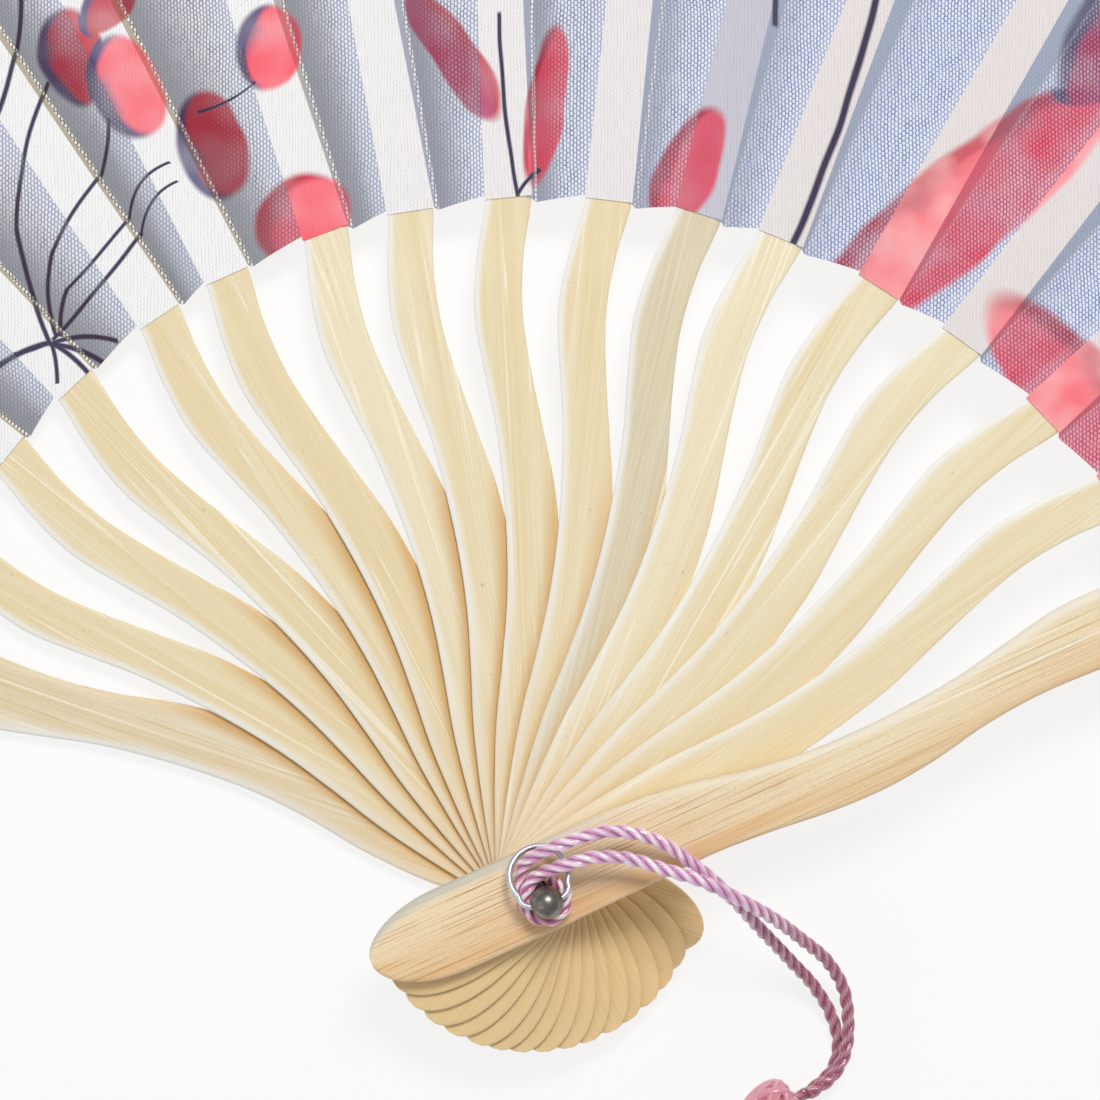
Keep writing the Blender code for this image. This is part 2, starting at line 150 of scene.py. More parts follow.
INNER_STRAND = (
    (-0.6, 1.4, 22), (0.5, 2.3, 22.7), (2.1, 3, 23.6), (4.1, 3.7, 24.4), (6.5, 4.4, 24.7),
    (10.2, 4.4, 24.3), (15.8, 2.8, 23.4), (20.1, 1.4, 22.7), (24, -0.6, 21.1), (28.5, -3.3, 17.1),
    (33.2, -7, 11.3), (37.1, -10.7, 6.6), (39.2, -14.7, 3.9), (39.7, -18.7, 3.2), (39.2, -22.7, 3.1),
    (37.6, -25.4, 3.4), (35.6, -26.8, 4.1), (34.5, -27.4, 4.6),
)
THROUGH_KNOT = ((32.2, -28.6, 3.5), (29.9, -29.8, 3.9), (26.6, -33.4, 3.6), (22.4, -38.1, 3.4))
PLIES = 3
PLY_RADIUS = 0.46 * MM
PLY_OFFSET = 0.40 * MM
PLY_PITCH = 6.2 * MM

# The tassel, which lies on the table. Its starts and ends are distances from the knot's centre.
KNOT_CENTRE = Vector((29.9, -29.8, 4.1)) * MM
KNOT_RADII = (4.2 * MM, 4.0 * MM, 4.0 * MM)                   # along, across and up
TASSEL_AZIMUTH = 228.0
TASSEL_HEAD = (4.6 * MM, 12.6 * MM, 3.1 * MM)                 # start, end, radius
TASSEL_SKIRT = (12.9 * MM, 66.0 * MM, 3.0 * MM, 6.2 * MM)     # start, end, radius at each
SKIRT_FLATNESS = 0.55            # height of the spread skirt over its width
TASSEL_LIFT = 0.3 * MM           # of the tassel's underside above the table


# ---------------------------------------------------------------- geometry helpers

def hermite(xs, ys, at):
    """A smooth curve through the points (xs, ys), read at other places."""
    xs, ys, at = np.asarray(xs, float), np.asarray(ys, float), np.asarray(at, float)
    slopes = np.gradient(ys, xs, axis=0)
    i = np.clip(np.searchsorted(xs, at, side="right") - 1, 0, len(xs) - 2)
    span = xs[i + 1] - xs[i]
    t = np.clip((at - xs[i]) / span, 0.0, 1.0)
    if ys.ndim > 1:
        span, t = span[:, None], t[:, None]
    return (ys[i] * (2 * t ** 3 - 3 * t ** 2 + 1) + ys[i + 1] * (3 * t ** 2 - 2 * t ** 3)
            + slopes[i] * span * (t ** 3 - 2 * t ** 2 + t) + slopes[i + 1] * span * (t ** 3 - t ** 2))


def walked(points):
    """Distance along a path at each of its points."""
    return np.concatenate([[0.0], np.cumsum(np.linalg.norm(np.diff(points, axis=0), axis=1))])


def even_path(points, spacing):
    """Evenly spaced points along a smooth curve through the given points."""
    points = np.asarray(points, float)
    rough = walked(points)
    fine = hermite(rough, points, np.linspace(0.0, rough[-1], len(points) * 24))
    length = walked(fine)
    goals = np.linspace(0.0, length[-1], max(2, round(length[-1] / spacing)) + 1)
    return np.stack([np.interp(goals, length, fine[:, k]) for k in range(3)], axis=1)


def carried_frames(points):
    """Two directions across a path at each of its points, carried along it without twist."""
    tangents = np.gradient(points, axis=0)
    tangents /= np.linalg.norm(tangents, axis=1)[:, None]
    side = Vector(tangents[0]).orthogonal().normalized()
    sides = []
    for tangent in tangents:
        tangent = Vector(tangent)
        side = (side - tangent * side.dot(tangent)).normalized()
        sides.append(np.array(side))
    sides = np.array(sides)
    return sides, np.cross(tangents, sides)


def ramp(value, start, end):
    """0 before start, 1 after end, and a straight ramp between them."""
    return np.clip((value - start) / (end - start), 0.0, 1.0)


def droop(distance):
    """Share of its height that a layer keeps at a distance from the pin."""
    return 1.0 - TIP_DROOP * (distance / LEAF_RADIUS) ** 2


def heading(azimuth):
    """Level direction at an azimuth."""
    azimuth = math.radians(azimuth)
    return Vector((math.cos(azimuth), math.sin(azimuth), 0.0))


def new_object(name, data):
    item = bpy.data.objects.new(name, data)
    bpy.context.scene.collection.objects.link(item)
    return item


def shape_object(name, shape):
    """An object from a bmesh, which is used up."""
    mesh = bpy.data.meshes.new(name)
    shape.to_mesh(mesh)
    shape.free()
    return new_object(name, mesh)


def add_layer(mesh, name, pairs):
    """A UV layer with one (u, v) pair for each vertex."""
    corners = np.array([loop.vertex_index for loop in mesh.loops])
    mesh.uv_layers.new(name=name).data.foreach_set("uv", np.asarray(pairs, np.float32)[corners].ravel())


def mesh_object(name, vertices, faces, material, layers=None):
    """A smooth object from vertices and faces; layers maps a UV layer's name to its pairs."""
    mesh = bpy.data.meshes.new(name)
    mesh.from_pydata([tuple(v) for v in vertices], [], faces)
    for layer, pairs in (layers or {}).items():
        add_layer(mesh, layer, pairs)
    mesh.shade_smooth()
    mesh.materials.append(material)
    return new_object(name, mesh)


def around(count):
    """Each index with the one after it, and the last with the first."""
    return [(i, (i + 1) % count) for i in range(count)]


def grid_faces(rows, columns, closed=False):
    """Quads of a grid of vertices stored row by row; closed joins each row's last column to its first."""
    return [(r * columns + a, r * columns + b, (r + 1) * columns + b, (r + 1) * columns + a)
            for r in range(rows - 1) for a, b in around(columns)[:None if closed else -1]]


def loft_faces(rows, columns):
    """Quads round a tube of vertices stored row by row, and a face at each end."""
    last = (rows - 1) * columns
    ends = [tuple(range(columns))[::-1], tuple(range(last, last + columns))]
    return grid_faces(rows, columns, closed=True) + ends


def tube(name, points, radius_at, sides, material):
    """A closed tube along a path; radius_at(distance, angles) gives its section at each of the points."""
    across, up = carried_frames(points)
    angles = np.linspace(0.0, math.tau, sides, endpoint=False)
    vertices, pairs = [], []
    for row, distance in enumerate(walked(points)):
        radii = radius_at(distance, angles)
        vertices.extend(points[row] + (np.cos(angles) * radii)[:, None] * across[row]
                        + (np.sin(angles) * radii)[:, None] * up[row])
        pairs.extend(np.stack([angles / math.tau, np.full(sides, distance / MM)], axis=1))
    return mesh_object(name, vertices, loft_faces(len(points), sides), material, {"thread": pairs})


def turned(name, profile, steps, material):
    """A closed profile of (radius, height) pairs turned about the Z axis."""
    angles = np.linspace(0.0, math.tau, steps, endpoint=False)
    vertices = [(r * math.cos(a), r * math.sin(a), z) for a in angles for r, z in profile]
    count = len(profile)
    faces = [(s * count + p, t * count + p, t * count + q, s * count + q)
             for s, t in around(steps) for p, q in around(count)]
    item = mesh_object(name, vertices, faces, material)
    close_mesh(item.data, 1e-7)
    return item


def close_mesh(mesh, distance=1e-8):
    """Weld a mesh's doubled points and make its faces point outwards."""
    shape = bmesh.new()
    shape.from_mesh(mesh)
    bmesh.ops.remove_doubles(shape, verts=shape.verts, dist=distance)
    bmesh.ops.dissolve_degenerate(shape, dist=distance, edges=shape.edges)
    bmesh.ops.recalc_face_normals(shape, faces=shape.faces)
    shape.to_mesh(mesh)
    shape.free()


def round_section(radius):
    """A tube's section that is round and the same all along it."""
    return lambda distance, angles: np.full(len(angles), radius)


def sharpen(item, angle):
    """Keep edges sharper than the angle crisp, and shade the rest smooth."""
    item.data.shade_smooth()
    item.data.set_sharp_from_angle(angle=math.radians(angle))


def apply_modifier(item, kind, **settings):
    """Give an object the mesh that a modifier makes of it."""
    modifier = item.modifiers.new(kind, kind)
    for key, value in settings.items():
        setattr(modifier, key, value)
    made = bpy.data.meshes.new_from_object(item.evaluated_get(bpy.context.evaluated_depsgraph_get()))
    item.modifiers.remove(modifier)
    item.data = made


def combine(target, tool, operation):
    """Cut the tool from the target, or join it on; the tool is used up."""
    apply_modifier(target, "BOOLEAN", operation=operation, solver="EXACT", object=tool)
    bpy.data.objects.remove(tool)


def cylinder(name, radius, start, end, sides):
    """A plain round tool from one point to another."""
    start, end = Vector(start), Vector(end)
    shape = bmesh.new()
    bmesh.ops.create_cone(shape, cap_ends=True, segments=sides, radius1=radius, radius2=radius,
                          depth=(end - start).length)
    turn = (end - start).to_track_quat("Z", "Y").to_matrix().to_4x4()
    bmesh.ops.transform(shape, matrix=Matrix.Translation((start + end) / 2.0) @ turn, verts=shape.verts)
    return shape_object(name, shape)


def hand_over(item, body, node):
    """Put an item on a body, in the place of a node of the frame."""
    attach(item, body)
    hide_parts(node)


# ---------------------------------------------------------------- node helpers

class Nodes:
    """Short ways to add nodes to a tree and join them."""

    def __init__(self, tree):
        self.tree = tree

    def add(self, kind, **settings):
        node = self.tree.nodes.new("ShaderNode" + kind)
        for key, value in settings.items():
            setattr(node, key, value)
        return node

    def put(self, value, socket):
        """Join a socket, or set a colour's code or a plain value."""
        if isinstance(value, bpy.types.NodeSocket):
            self.tree.links.new(value, socket)
        else:
            socket.default_value = (*linear(value), 1.0) if isinstance(value, str) else value

    def fill(self, sockets, *values):
        for value, socket in zip(values, sockets):
            self.put(value, socket)

    def feed(self, node, settings):
        """Join or set a node's inputs, given by name."""
        for name, value in settings.items():
            self.put(value, node.inputs[name])

    def maths(self, operation, *values):
        node = self.add("Math", operation=operation)
        self.fill(node.inputs, *values)
        return node.outputs[0]

    def times(self, first, second):
        return self.maths("MULTIPLY", first, second)

    def times_plus(self, first, second, added):
        return self.maths("MULTIPLY_ADD", first, second, added)

    def size_of(self, value):
        return self.maths("ABSOLUTE", value)

    def span(self, value, low, high, start=0.0, end=1.0, kind="LINEAR"):
        """The value's place between low and high, as a number from start to end."""
        node = self.add("MapRange", interpolation_type=kind, clamp=True)
        self.fill(node.inputs, value, low, high, start, end)
        return node.outputs[0]

    def ease(self, value, low, high, start=0.0, end=1.0):
        """A span that starts and ends gently."""
        return self.span(value, low, high, start, end, kind="SMOOTHSTEP")

    def mix(self, share, first, second, kind="MIX"):
        node = self.add("Mix", data_type="RGBA", blend_type=kind, clamp_factor=True)
        self.fill((node.inputs[0], node.inputs[6], node.inputs[7]), share, first, second)
        return node.outputs[2]

    def point(self, x, y, z=0.0):
        node = self.add("CombineXYZ")
        self.fill(node.inputs, x, y, z)
        return node.outputs[0]

    def parts(self, place):
        """The first two coordinates of a place."""
        node = self.add("SeparateXYZ")
        self.put(place, node.inputs[0])
        return node.outputs[0], node.outputs[1]

    def noise(self, place, scale, detail, roughness=0.5):
        node = self.add("TexNoise")
        self.feed(node, {"Vector": place, "Scale": scale, "Detail": detail, "Roughness": roughness})
        return node.outputs["Fac"]

    def grain(self, x, y, stretch, detail, roughness=0.5, z=0.0):
        """Noise that is stretched along x and y, by their scales."""
        place = self.point(self.times(x, stretch[0]), self.times(y, stretch[1]), z)
        return self.noise(place, 1.0, detail, roughness)

    def layer(self, name):
        return self.add("UVMap", uv_map=name).outputs[0]

    def uv(self, name):
        """The two coordinates of a UV layer."""
        return self.parts(self.layer(name))

    def bump(self, height, strength, distance):
        node = self.add("Bump")
        self.feed(node, {"Height": height, "Strength": strength, "Distance": distance})
        return node.outputs[0]


def linear(code):
    """Linear colour of a six-digit hexadecimal sRGB code."""
    parts = [int(code[i:i + 2], 16) / 255.0 for i in (0, 2, 4)]
    return tuple(c / 12.92 if c <= 0.04045 else ((c + 0.055) / 1.055) ** 2.4 for c in parts)


def new_material(name):
    """A material, its node helper and its Principled shader."""
    material = bpy.data.materials.new(name)
    material.use_nodes = True
    shader = material.node_tree.nodes["Principled BSDF"]
    return material, Nodes(material.node_tree), shader


# ---------------------------------------------------------------- bamboo

def bamboo(name, pale, tan, grain_colour, grain_depth, pale_edge_and_highlight, tail_colour, shaded_side=0):
    """Split bamboo: fine straight grain, thin bright fibres, left edges paler partly in the wood and partly
    by painted highlight, painted warm shade under the next stick, on the front guard a painted shaded side
    and a painted reflection, and a satin polish.
    """
    material, n, shader = new_material(name)
    along, across = n.uv("wood")
    side, distance = n.uv("side")
    tone, shaded_grey = n.uv("tone")
    turn, clear = n.uv("neighbour")
    broad = n.grain(along, across, (0.016, 0.5), 3)
    fine = n.grain(along, across, (0.05, 4.2), 4, 0.65)
    fibre = n.grain(along, across, (0.006, 0.75), 1, z=4)
    speck = n.grain(along, across, (2.6, 4), 3, 0.7)
    spots = n.grain(along, across, (0.7, 1.2), 1, z=9)
    base = n.mix(n.span(n.times_plus(tone, 0.16, broad), 0.34, 0.66), pale, tan)
    # Painted shade: the shaded stick's wood is greyer, as if turned away from the light.
    base = n.mix(n.times(shaded_grey, n.span(fine, 0.4, 0.65, 0.35, 0.85)), base, "CFCAB8")
    base = n.mix(n.ease(distance, 30, -4, 0, 0.9), base, tail_colour)
    lines = n.times(n.ease(fine, 0.50, 0.72), n.span(distance, 26, 2, 1, 1.9))
    base = n.mix(n.times(lines, grain_depth), base, grain_colour)
    bright = n.span(n.size_of(n.maths("SUBTRACT", fibre, 0.5)), 0, 0.012, 1, 0)
    bright = n.times(bright, n.span(distance, -2, 25, 0.12, 0.75))
    base = n.mix(bright, base, "FFFAE8")
    base = n.mix(n.span(speck, 0.35, 0.75, 0, 0.24), base, grain_colour)
    base = n.mix(n.span(spots, 0.74, 0.82, 0, 0.35), base, "B98B55")
    if shaded_side:
        # Painted shade: the guard turns warmer and darker towards its right side, varied by noise.
        side_shade = n.times(n.ease(side, 0.35, -0.7), n.span(broad, 0.35, 0.6, 0.15, shaded_side))
        base = n.mix(side_shade, base, "DFA560")
        # Painted reflection of the sky: a cool grey rim on the left bevel near the tail.
        rim = n.times(n.ease(side, 0.72, 0.95), n.span(distance, 16, -4, 0, 0.75))
        base = n.mix(rim, base, "A9ACA8")
    # Pale left edges: partly paler wood, partly a painted highlight where the edges face the light.
    edge = n.times(n.ease(side, 0.58, 0.94), n.span(distance, 12, 48, 0.3, 0.85))
    base = n.mix(edge, base, pale_edge_and_highlight)
    # Painted warm shade where the next stick lies over a left-hand rib, standing in for light bounced between
    # the sticks; it fades near the pin.
    shade_under_next = n.times(n.span(distance, 66, 46), n.span(turn, 66, 104, 0.1, 1))
    shade_under_next = n.times(shade_under_next, n.ease(distance, 1, 13))
    far = n.span(distance, 12, 46, 0.9, 2.6)
    shade_under_next = n.times(shade_under_next, n.ease(clear, far, 0.05, 0, 0.8))
    base = n.mix(shade_under_next, base, "CF9A48")
    relief = n.maths("ADD", n.times(fine, 0.7), n.times(speck, 0.3))
    n.feed(shader, {"Base Color": base, "Roughness": n.span(fine, 0.3, 0.7, 0.42, 0.58),
                    "Specular IOR Level": 0.3, "Normal": n.bump(relief, 0.3, 0.06 * MM)})
    return material


# ---------------------------------------------------------------- the leaf's print

CORAL, CRIMSON, INDIGO, ROSE = "FF6474", "C81438", "43306E", "C04872"
STEM_INK = "2A1E48"
PRINT_WOBBLE = 1.8               # mm that the print's outlines wander
PRINT_WOBBLE_SCALE = 0.14

# Petals of the print: centre x and y, direction, half length and half width in mm, inner and rim colours.
PETALS = (
    (-59, 104.5, 105, 6.6, 4.3, CRIMSON, INDIGO),
    (-52, 100.5, 112, 6.8, 4.7, CORAL, INDIGO),
    (-34, 105.2, 80, 5.4, 4.2, CORAL, INDIGO),
    (-41.2, 93.2, 108, 7.2, 4.6, CRIMSON, INDIGO),
    (-29.6, 83.4, 60, 6.6, 6, CORAL, CRIMSON),
    (-54.5, 111.5, 60, 5, 3, CRIMSON, INDIGO),
    (-10.5, 104.5, -56, 10.2, 3, ROSE, CRIMSON),
    (1.2, 98, 82, 10.4, 2.7, CORAL, CRIMSON),
    (19, 89.6, 66, 8.6, 4, CORAL, CRIMSON),
    (52.2, 83.7, 40, 27, 6.6, CORAL, CRIMSON),
    (67.2, 60.6, -52, 16.4, 6, CORAL, CRIMSON),
    (78, 112, 48, 18, 6.5, ROSE, INDIGO),
    (97, 78, 12, 17, 6, CORAL, CRIMSON),
    (116, 108, 60, 15, 5.5, CRIMSON, INDIGO),
    (40, 140, 76, 17, 5.6, CORAL, CRIMSON),
    (12, 150, 118, 15, 5, ROSE, CRIMSON),
    (-24, 138, 95, 8, 5.6, CORAL, INDIGO),
    (-42, 132, 120, 7, 5, CRIMSON, INDIGO),
    (-66, 128, 100, 8, 5.6, CORAL, INDIGO),
    (-88, 108, 140, 7.4, 5.2, CRIMSON, INDIGO),
    (-98, 84, 150, 8.6, 5.4, CORAL, CRIMSON),
    (-128, 92, 130, 8, 5.6, CORAL, INDIGO),
)

# Strokes of the print: start and end in mm, how far the middle bows to the left, and half width.
STROKES = (
    (-62.2, 101.2, -66.2, 82.7, -1, 0.30), (-66.2, 82.7, -62, 68, -0.4, 0.34),
    (-54.4, 96.7, -55.4, 89.7, 0.3, 0.26), (-55.4, 89.7, -61.8, 79.5, -0.4, 0.28),
    (-61.8, 79.5, -61.2, 69, -0.7, 0.30), (-46.6, 91, -51.9, 84, -1.3, 0.22),
    (-51.9, 84, -59.7, 75, 0.2, 0.24), (-59.7, 75, -60.6, 69, -0.4, 0.30),
    (-45.6, 88.6, -50.3, 82.1, -1.1, 0.20), (-50.3, 82.1, -61.6, 68.6, 0.3, 0.28),
    (-35.8, 101, -43, 97.4, 0.5, 0.16), (-62, 68.2, -71, 63.4, -0.7, 0.42),
    (-62, 68, -53.4, 68.4, 0.8, 0.34), (-62, 68, -55.2, 65.6, 0.5, 0.38),
    (-61.6, 68, -57, 64.2, 0.3, 0.34), (-61.8, 68, -61, 63, 0.2, 0.30),
    (-62.2, 68.2, -66.6, 66.8, 0.2, 0.28), (-4.8, 109.5, -2.4, 86.6, -0.5, 0.28),
    (-2.4, 86.8, 0.4, 89.8, 0.2, 0.26), (44.5, 120, 31.9, 79.9, 1.3, 0.50),
    (44.5, 120, 46, 136, 0.5, 0.48),
    (30, 108, 34, 130, 1, 0.40), (-24, 130, -31, 112, -1.5, 0.34),
    (-66, 120, -69, 96, 1.6, 0.34), (-98, 76, -80, 58, -1.5, 0.36),
    (-128, 84, -100, 56, -2.6, 0.40), (104, 96, 86, 60, 2, 0.50),
)


def new_group(name, inputs, outputs):
    """A node group with the given sockets, and its node helper."""
    group = bpy.data.node_groups.new(name, "ShaderNodeTree")
    for way, sockets in (("INPUT", inputs), ("OUTPUT", outputs)):
        for label, kind in sockets:
            group.interface.new_socket(label, in_out=way, socket_type="NodeSocket" + kind)
    return group, Nodes(group)


def shape_group(name, extras, build):
    """A node group that reads a place in mm and a shape's own frame, given as two rows of three numbers."""
    labels = ("X", "Y", "Along X", "Along Y", "Along 0", "Across X", "Across Y", "Across 0", *extras)
    group, n = new_group(name, [(label, "Float") for label in labels],
                         [(label, "Float") for label in ("Mask", "Along", "Across")])
    given = group.nodes.new("NodeGroupInput").outputs
    x, y = given[0], given[1]
    along = n.times_plus(x, given[2], n.times_plus(y, given[3], given[4]))
    across = n.times_plus(x, given[5], n.times_plus(y, given[6], given[7]))
    mask = build(n, along, across, given)
    n.fill(group.nodes.new("NodeGroupOutput").inputs, mask, along, across)
    return group


def petal_mask(n, along, across, given):
    """Inside of an ellipse: 0 at its edge and 1 well inside it."""
    inside = n.times_plus(along, along, n.times(across, across))
    return n.span(inside, 1.12, 0.45)


def stroke_mask(n, along, across, given):
    """A thin bowed stroke that fades at its ends; the extra input is how far its middle bows."""
    arch = n.times(n.times_plus(along, along, -1), given[8])
    off = n.size_of(n.maths("ADD", across, arch))
    return n.times(n.span(off, 1.3, 0.6), n.span(n.size_of(along), 1.04, 1))


def shape_frame(cx, cy, azimuth, length, width):
    """The rows that turn a place into coordinates along and across a shape, from -1 to 1 inside it."""
    c, s = math.cos(math.radians(azimuth)), math.sin(math.radians(azimuth))
    return (c / length, s / length, -(cx * c + cy * s) / length,
            -s / width, c / width, (cx * s - cy * c) / width)


def print_group():
    """The painted print as a node group: place in mm in, ink colour and ink coverage out."""
    petal = shape_group("petal", (), petal_mask)
    stroke = shape_group("stroke", ("Bow",), stroke_mask)
    group, n = new_group("leaf_print", [("Place", "Vector")], [("Ink", "Color"), ("Cover", "Float")])
    source = group.nodes.new("NodeGroupInput").outputs[0]
    wash = n.noise(source, 0.16, 1)
    flat = n.parts(source)

    def wobble(spot):
        return n.times_plus(n.noise(spot, PRINT_WOBBLE_SCALE, 0.5), PRINT_WOBBLE, -PRINT_WOBBLE / 2)

    wobbles = (wobble(source), wobble(n.point(flat[1], flat[0], 7)))
    x, y = (n.maths("ADD", flat[k], wobbles[k]) for k in (0, 1))

    def place_shape(tree, numbers):
        node = n.add("Group", node_tree=tree)
        n.fill(node.inputs, x, y, *numbers)
        return node.outputs

    ink, cover = CORAL, 0
    for cx, cy, azimuth, length, width, inner, rim in PETALS:
        mask, along, across = place_shape(petal, shape_frame(cx, cy, azimuth, length, width))
        rimward = n.times_plus(across, 0.62, n.times(mask, -0.55))
        shade = n.times_plus(wash, 0.5, rimward)
        tone = n.mix(n.ease(shade, -0.10, 0.22), inner, rim)
        ink = n.mix(n.span(mask, 0, 0.12), ink, tone)
        cover = n.maths("MAXIMUM", cover, n.ease(mask, 0, 0.5))
    x, y = (n.times_plus(wobbles[k], 0.25, flat[k]) for k in (0, 1))
    line = 0
    for x0, y0, x1, y1, bow, width in STROKES:
        length = math.hypot(x1 - x0, y1 - y0) / 2
        azimuth = math.degrees(math.atan2(y1 - y0, x1 - x0))
        numbers = shape_frame((x0 + x1) / 2, (y0 + y1) / 2, azimuth, length, width)
        line = n.maths("MAXIMUM", line, place_shape(stroke, numbers + (bow / width,))[0])
    ink = n.mix(n.span(line, 0, 0.15), ink, STEM_INK)
    cover = n.times(cover, n.span(wash, 0.30, 0.72, 0.98, 0.74))
    cover = n.maths("MAXIMUM", cover, n.times(line, 0.96))
    n.fill(group.nodes.new("NodeGroupOutput").inputs, ink, cover)
    return group


# ---------------------------------------------------------------- materials of cloth, steel and cord

WARP_PITCH, WEFT_PITCH = 0.42, 0.31       # mm from one thread to the next
EASTWARD = (-40, 38)                      # mm of x over which the cloth's colours change


def printed_cloth(n, group, thread_colours, gap_colours, gap_depth, dark_share, ink_shift):
    """Plain-woven cloth with the print: its colour, weave, ink, share of ink, and place in mm.

    The leaf is cut from one flat piece, so its threads keep their direction from pleat to pleat.
    """
    place = n.layer("print")
    x, y = n.parts(place)
    east = n.span(x, *EASTWARD)
    sway = n.times_plus(n.noise(place, 0.10, 3), 8, -4)
    warp = n.maths("SINE", n.times_plus(x, math.pi / WARP_PITCH, sway))
    weft = n.maths("SINE", n.times_plus(y, math.pi / WEFT_PITCH, sway))
    check = n.times(warp, weft)
    weave = n.times_plus(n.size_of(warp), 0.70, n.times(check, 0.42))
    slub = n.grain(x, y, (2.4, 0.5), 3, 0.6)
    gaps = n.ease(n.times_plus(slub, 0.7, weave), dark_share + 0.5, dark_share)
    painted = n.add("Group", node_tree=group)
    n.put(place, painted.inputs[0])
    ink, cover = painted.outputs
    ink = n.mix(ink_shift, ink, n.mix(1, ink, "E890B4", kind="MULTIPLY"))
    tired = n.span(weave, 0.7, 1.1, 1, n.span(east, 0, 1, 1 - 0.08 * ink_shift, 1 - 0.4 * ink_shift))
    washed = n.span(n.noise(place, 0.11, 2), 0.42, 0.62, 0, 0.35 * ink_shift)
    tired = n.times(tired, n.times_plus(n.times(washed, east), -1, 1))
    thread = n.mix(n.times(cover, tired), n.mix(east, *thread_colours), ink)
    gap = n.mix(n.times(cover, 0.9), n.mix(east, *gap_colours), n.mix(0.30, ink, "4A1440"))
    base = n.mix(n.times(gaps, gap_depth), thread, gap)
    return base, weave, ink, cover, x, y


def panel_material(group):
    """The single cloth between two sticks: painted shade beside its fold, and painted light where it rises
    towards the next stick.
    """
    material, n, shader = new_material("leaf_panel")
    base, weave, ink, cover, x, _ = printed_cloth(n, group, ("EEEEF2", "ECF1FD"), ("8A8D9C", "7C88BC"),
                                                  1, 0.42, 0.8)
    left, right = n.uv("edges")
    east, west = n.span(x, *EASTWARD), n.span(x, -12, -42)
    inked = n.mix(0.2, ink, "4A1440")
    # Painted shade: grey cloth beside the fold, wider and stronger on the left of the leaf.
    shaded_grey = n.mix(n.times(cover, 0.93), n.mix(east, "96979F", "A4A9BE"), inked)
    fold_shade = n.times(n.ease(left, 0.4, n.span(east, 0.05, 0.55, 8.5, 4), 0.9, 0),
                   n.span(east, 0.5, 1, 1, 0.25))
    base = n.mix(fold_shade, base, shaded_grey)
    # Painted highlight: the cloth brightens where it rises to the next strip.
    lift = n.times(n.ease(right, n.span(east, 0.05, 0.55, 3.6, 1.7), 0.6, 0, 0.55),
                   n.span(cover, 0, 1, 1, 0.2))
    base = n.mix(lift, base, n.mix(n.span(weave, 0.2, 0.7), "B4BEDC", "FAFBFF"))
    # Painted shade: a flat blue-grey band where the cloth falls from the strip to its crease.
    fall_shade_band = n.mix(west, n.mix(east, "BBC0D6", "A8B1C6"), "C9BFA8")
    base = n.mix(n.span(left, 0.04, -0.10, 0, 0.85), base, n.mix(n.times(cover, 0.85), fall_shade_band, ink))
    # Painted highlight and shade along the crease: bright threads over dark gaps.
    crease_light = n.mix(n.ease(weave, 0.55, 0.15), "FAF7F2", n.mix(west, "8A90A8", "645A4A"))
    crease_light = n.mix(n.times(cover, 0.5), crease_light, ink)
    crease_light_share = n.ease(n.size_of(n.maths("ADD", left, 0.14)), 0.12, 0.30, 1, 0)
    crease_light_share = n.times(crease_light_share, n.span(east, 0.5, 0.9, 0.95, 0.35))
    base = n.mix(crease_light_share, base, crease_light)
    n.feed(shader, {"Base Color": base, "Roughness": 0.8, "Specular IOR Level": 0.2, "Sheen Weight": 0.1,
                    "Normal": n.bump(weave, 0.6, 0.04 * MM)})
    through = n.add("BsdfTranslucent")
    n.put(base, through.inputs["Color"])
    both = n.add("MixShader")
    n.fill(both.inputs, 0.12, shader.outputs[0], through.outputs[0])
    n.put(both.outputs[0], n.tree.nodes["Material Output"].inputs["Surface"])
    return material


def strip_material(group, shaded_azimuth):
    """The cloth glued to a slip: opaque, near white and tightly woven; one slip's cloth has painted shade."""
    material, n, shader = new_material("leaf_strip")
    # The strips' threads turn beige-grey from left to right: painted shade.
    base, weave, ink, cover, x, y = printed_cloth(n, group, ("F7F6F6", "E8E1E0"), ("B9B9C0", "BDB4B6"),
                                                  0.55, 0.22, 0)
    patch = n.span(n.noise(n.point(x, y), 0.12, 2), 0.40, 0.58, 0.15, 0.7)
    strength = n.add("RGBToBW")
    n.put(ink, strength.inputs[0])
    petals = n.times(cover, n.span(strength.outputs[0], 0.06, 0.12))
    pale = n.times(n.times(petals, patch), n.span(x, 26, 44))
    base = n.mix(pale, base, "FFC0C0")
    # Painted shade on the cloth over the shaded stick, as for a strip turned from the light.
    off_shade = n.size_of(n.maths("SUBTRACT", n.maths("ARCTAN2", y, x), math.radians(shaded_azimuth)))
    shade = n.mix(1, base, "DCE0EE", kind="MULTIPLY")
    base = n.mix(n.span(off_shade, 0.050, 0.045), base, shade)
    n.feed(shader, {"Base Color": base, "Roughness": 0.8, "Specular IOR Level": 0.2,
                    "Normal": n.bump(weave, 0.5, 0.03 * MM)})
    return material


def steel_material(name, base_colour, roughness, wear):
    """Worn steel with fine scratches and dull patches."""
    material, n, shader = new_material(name)
    place = n.add("TexCoord").outputs["Object"]
    patches = n.noise(place, 900, 3)
    scratches = n.noise(place, 5200, 2)
    n.feed(shader, {"Base Color": n.mix(n.span(patches, 0.4, 0.7, 0, wear), base_colour, "4A4038"),
                    "Roughness": n.times_plus(patches, 0.25, roughness), "Metallic": 1,
                    "Normal": n.bump(scratches, 0.08, 0.006 * MM)})
    return material


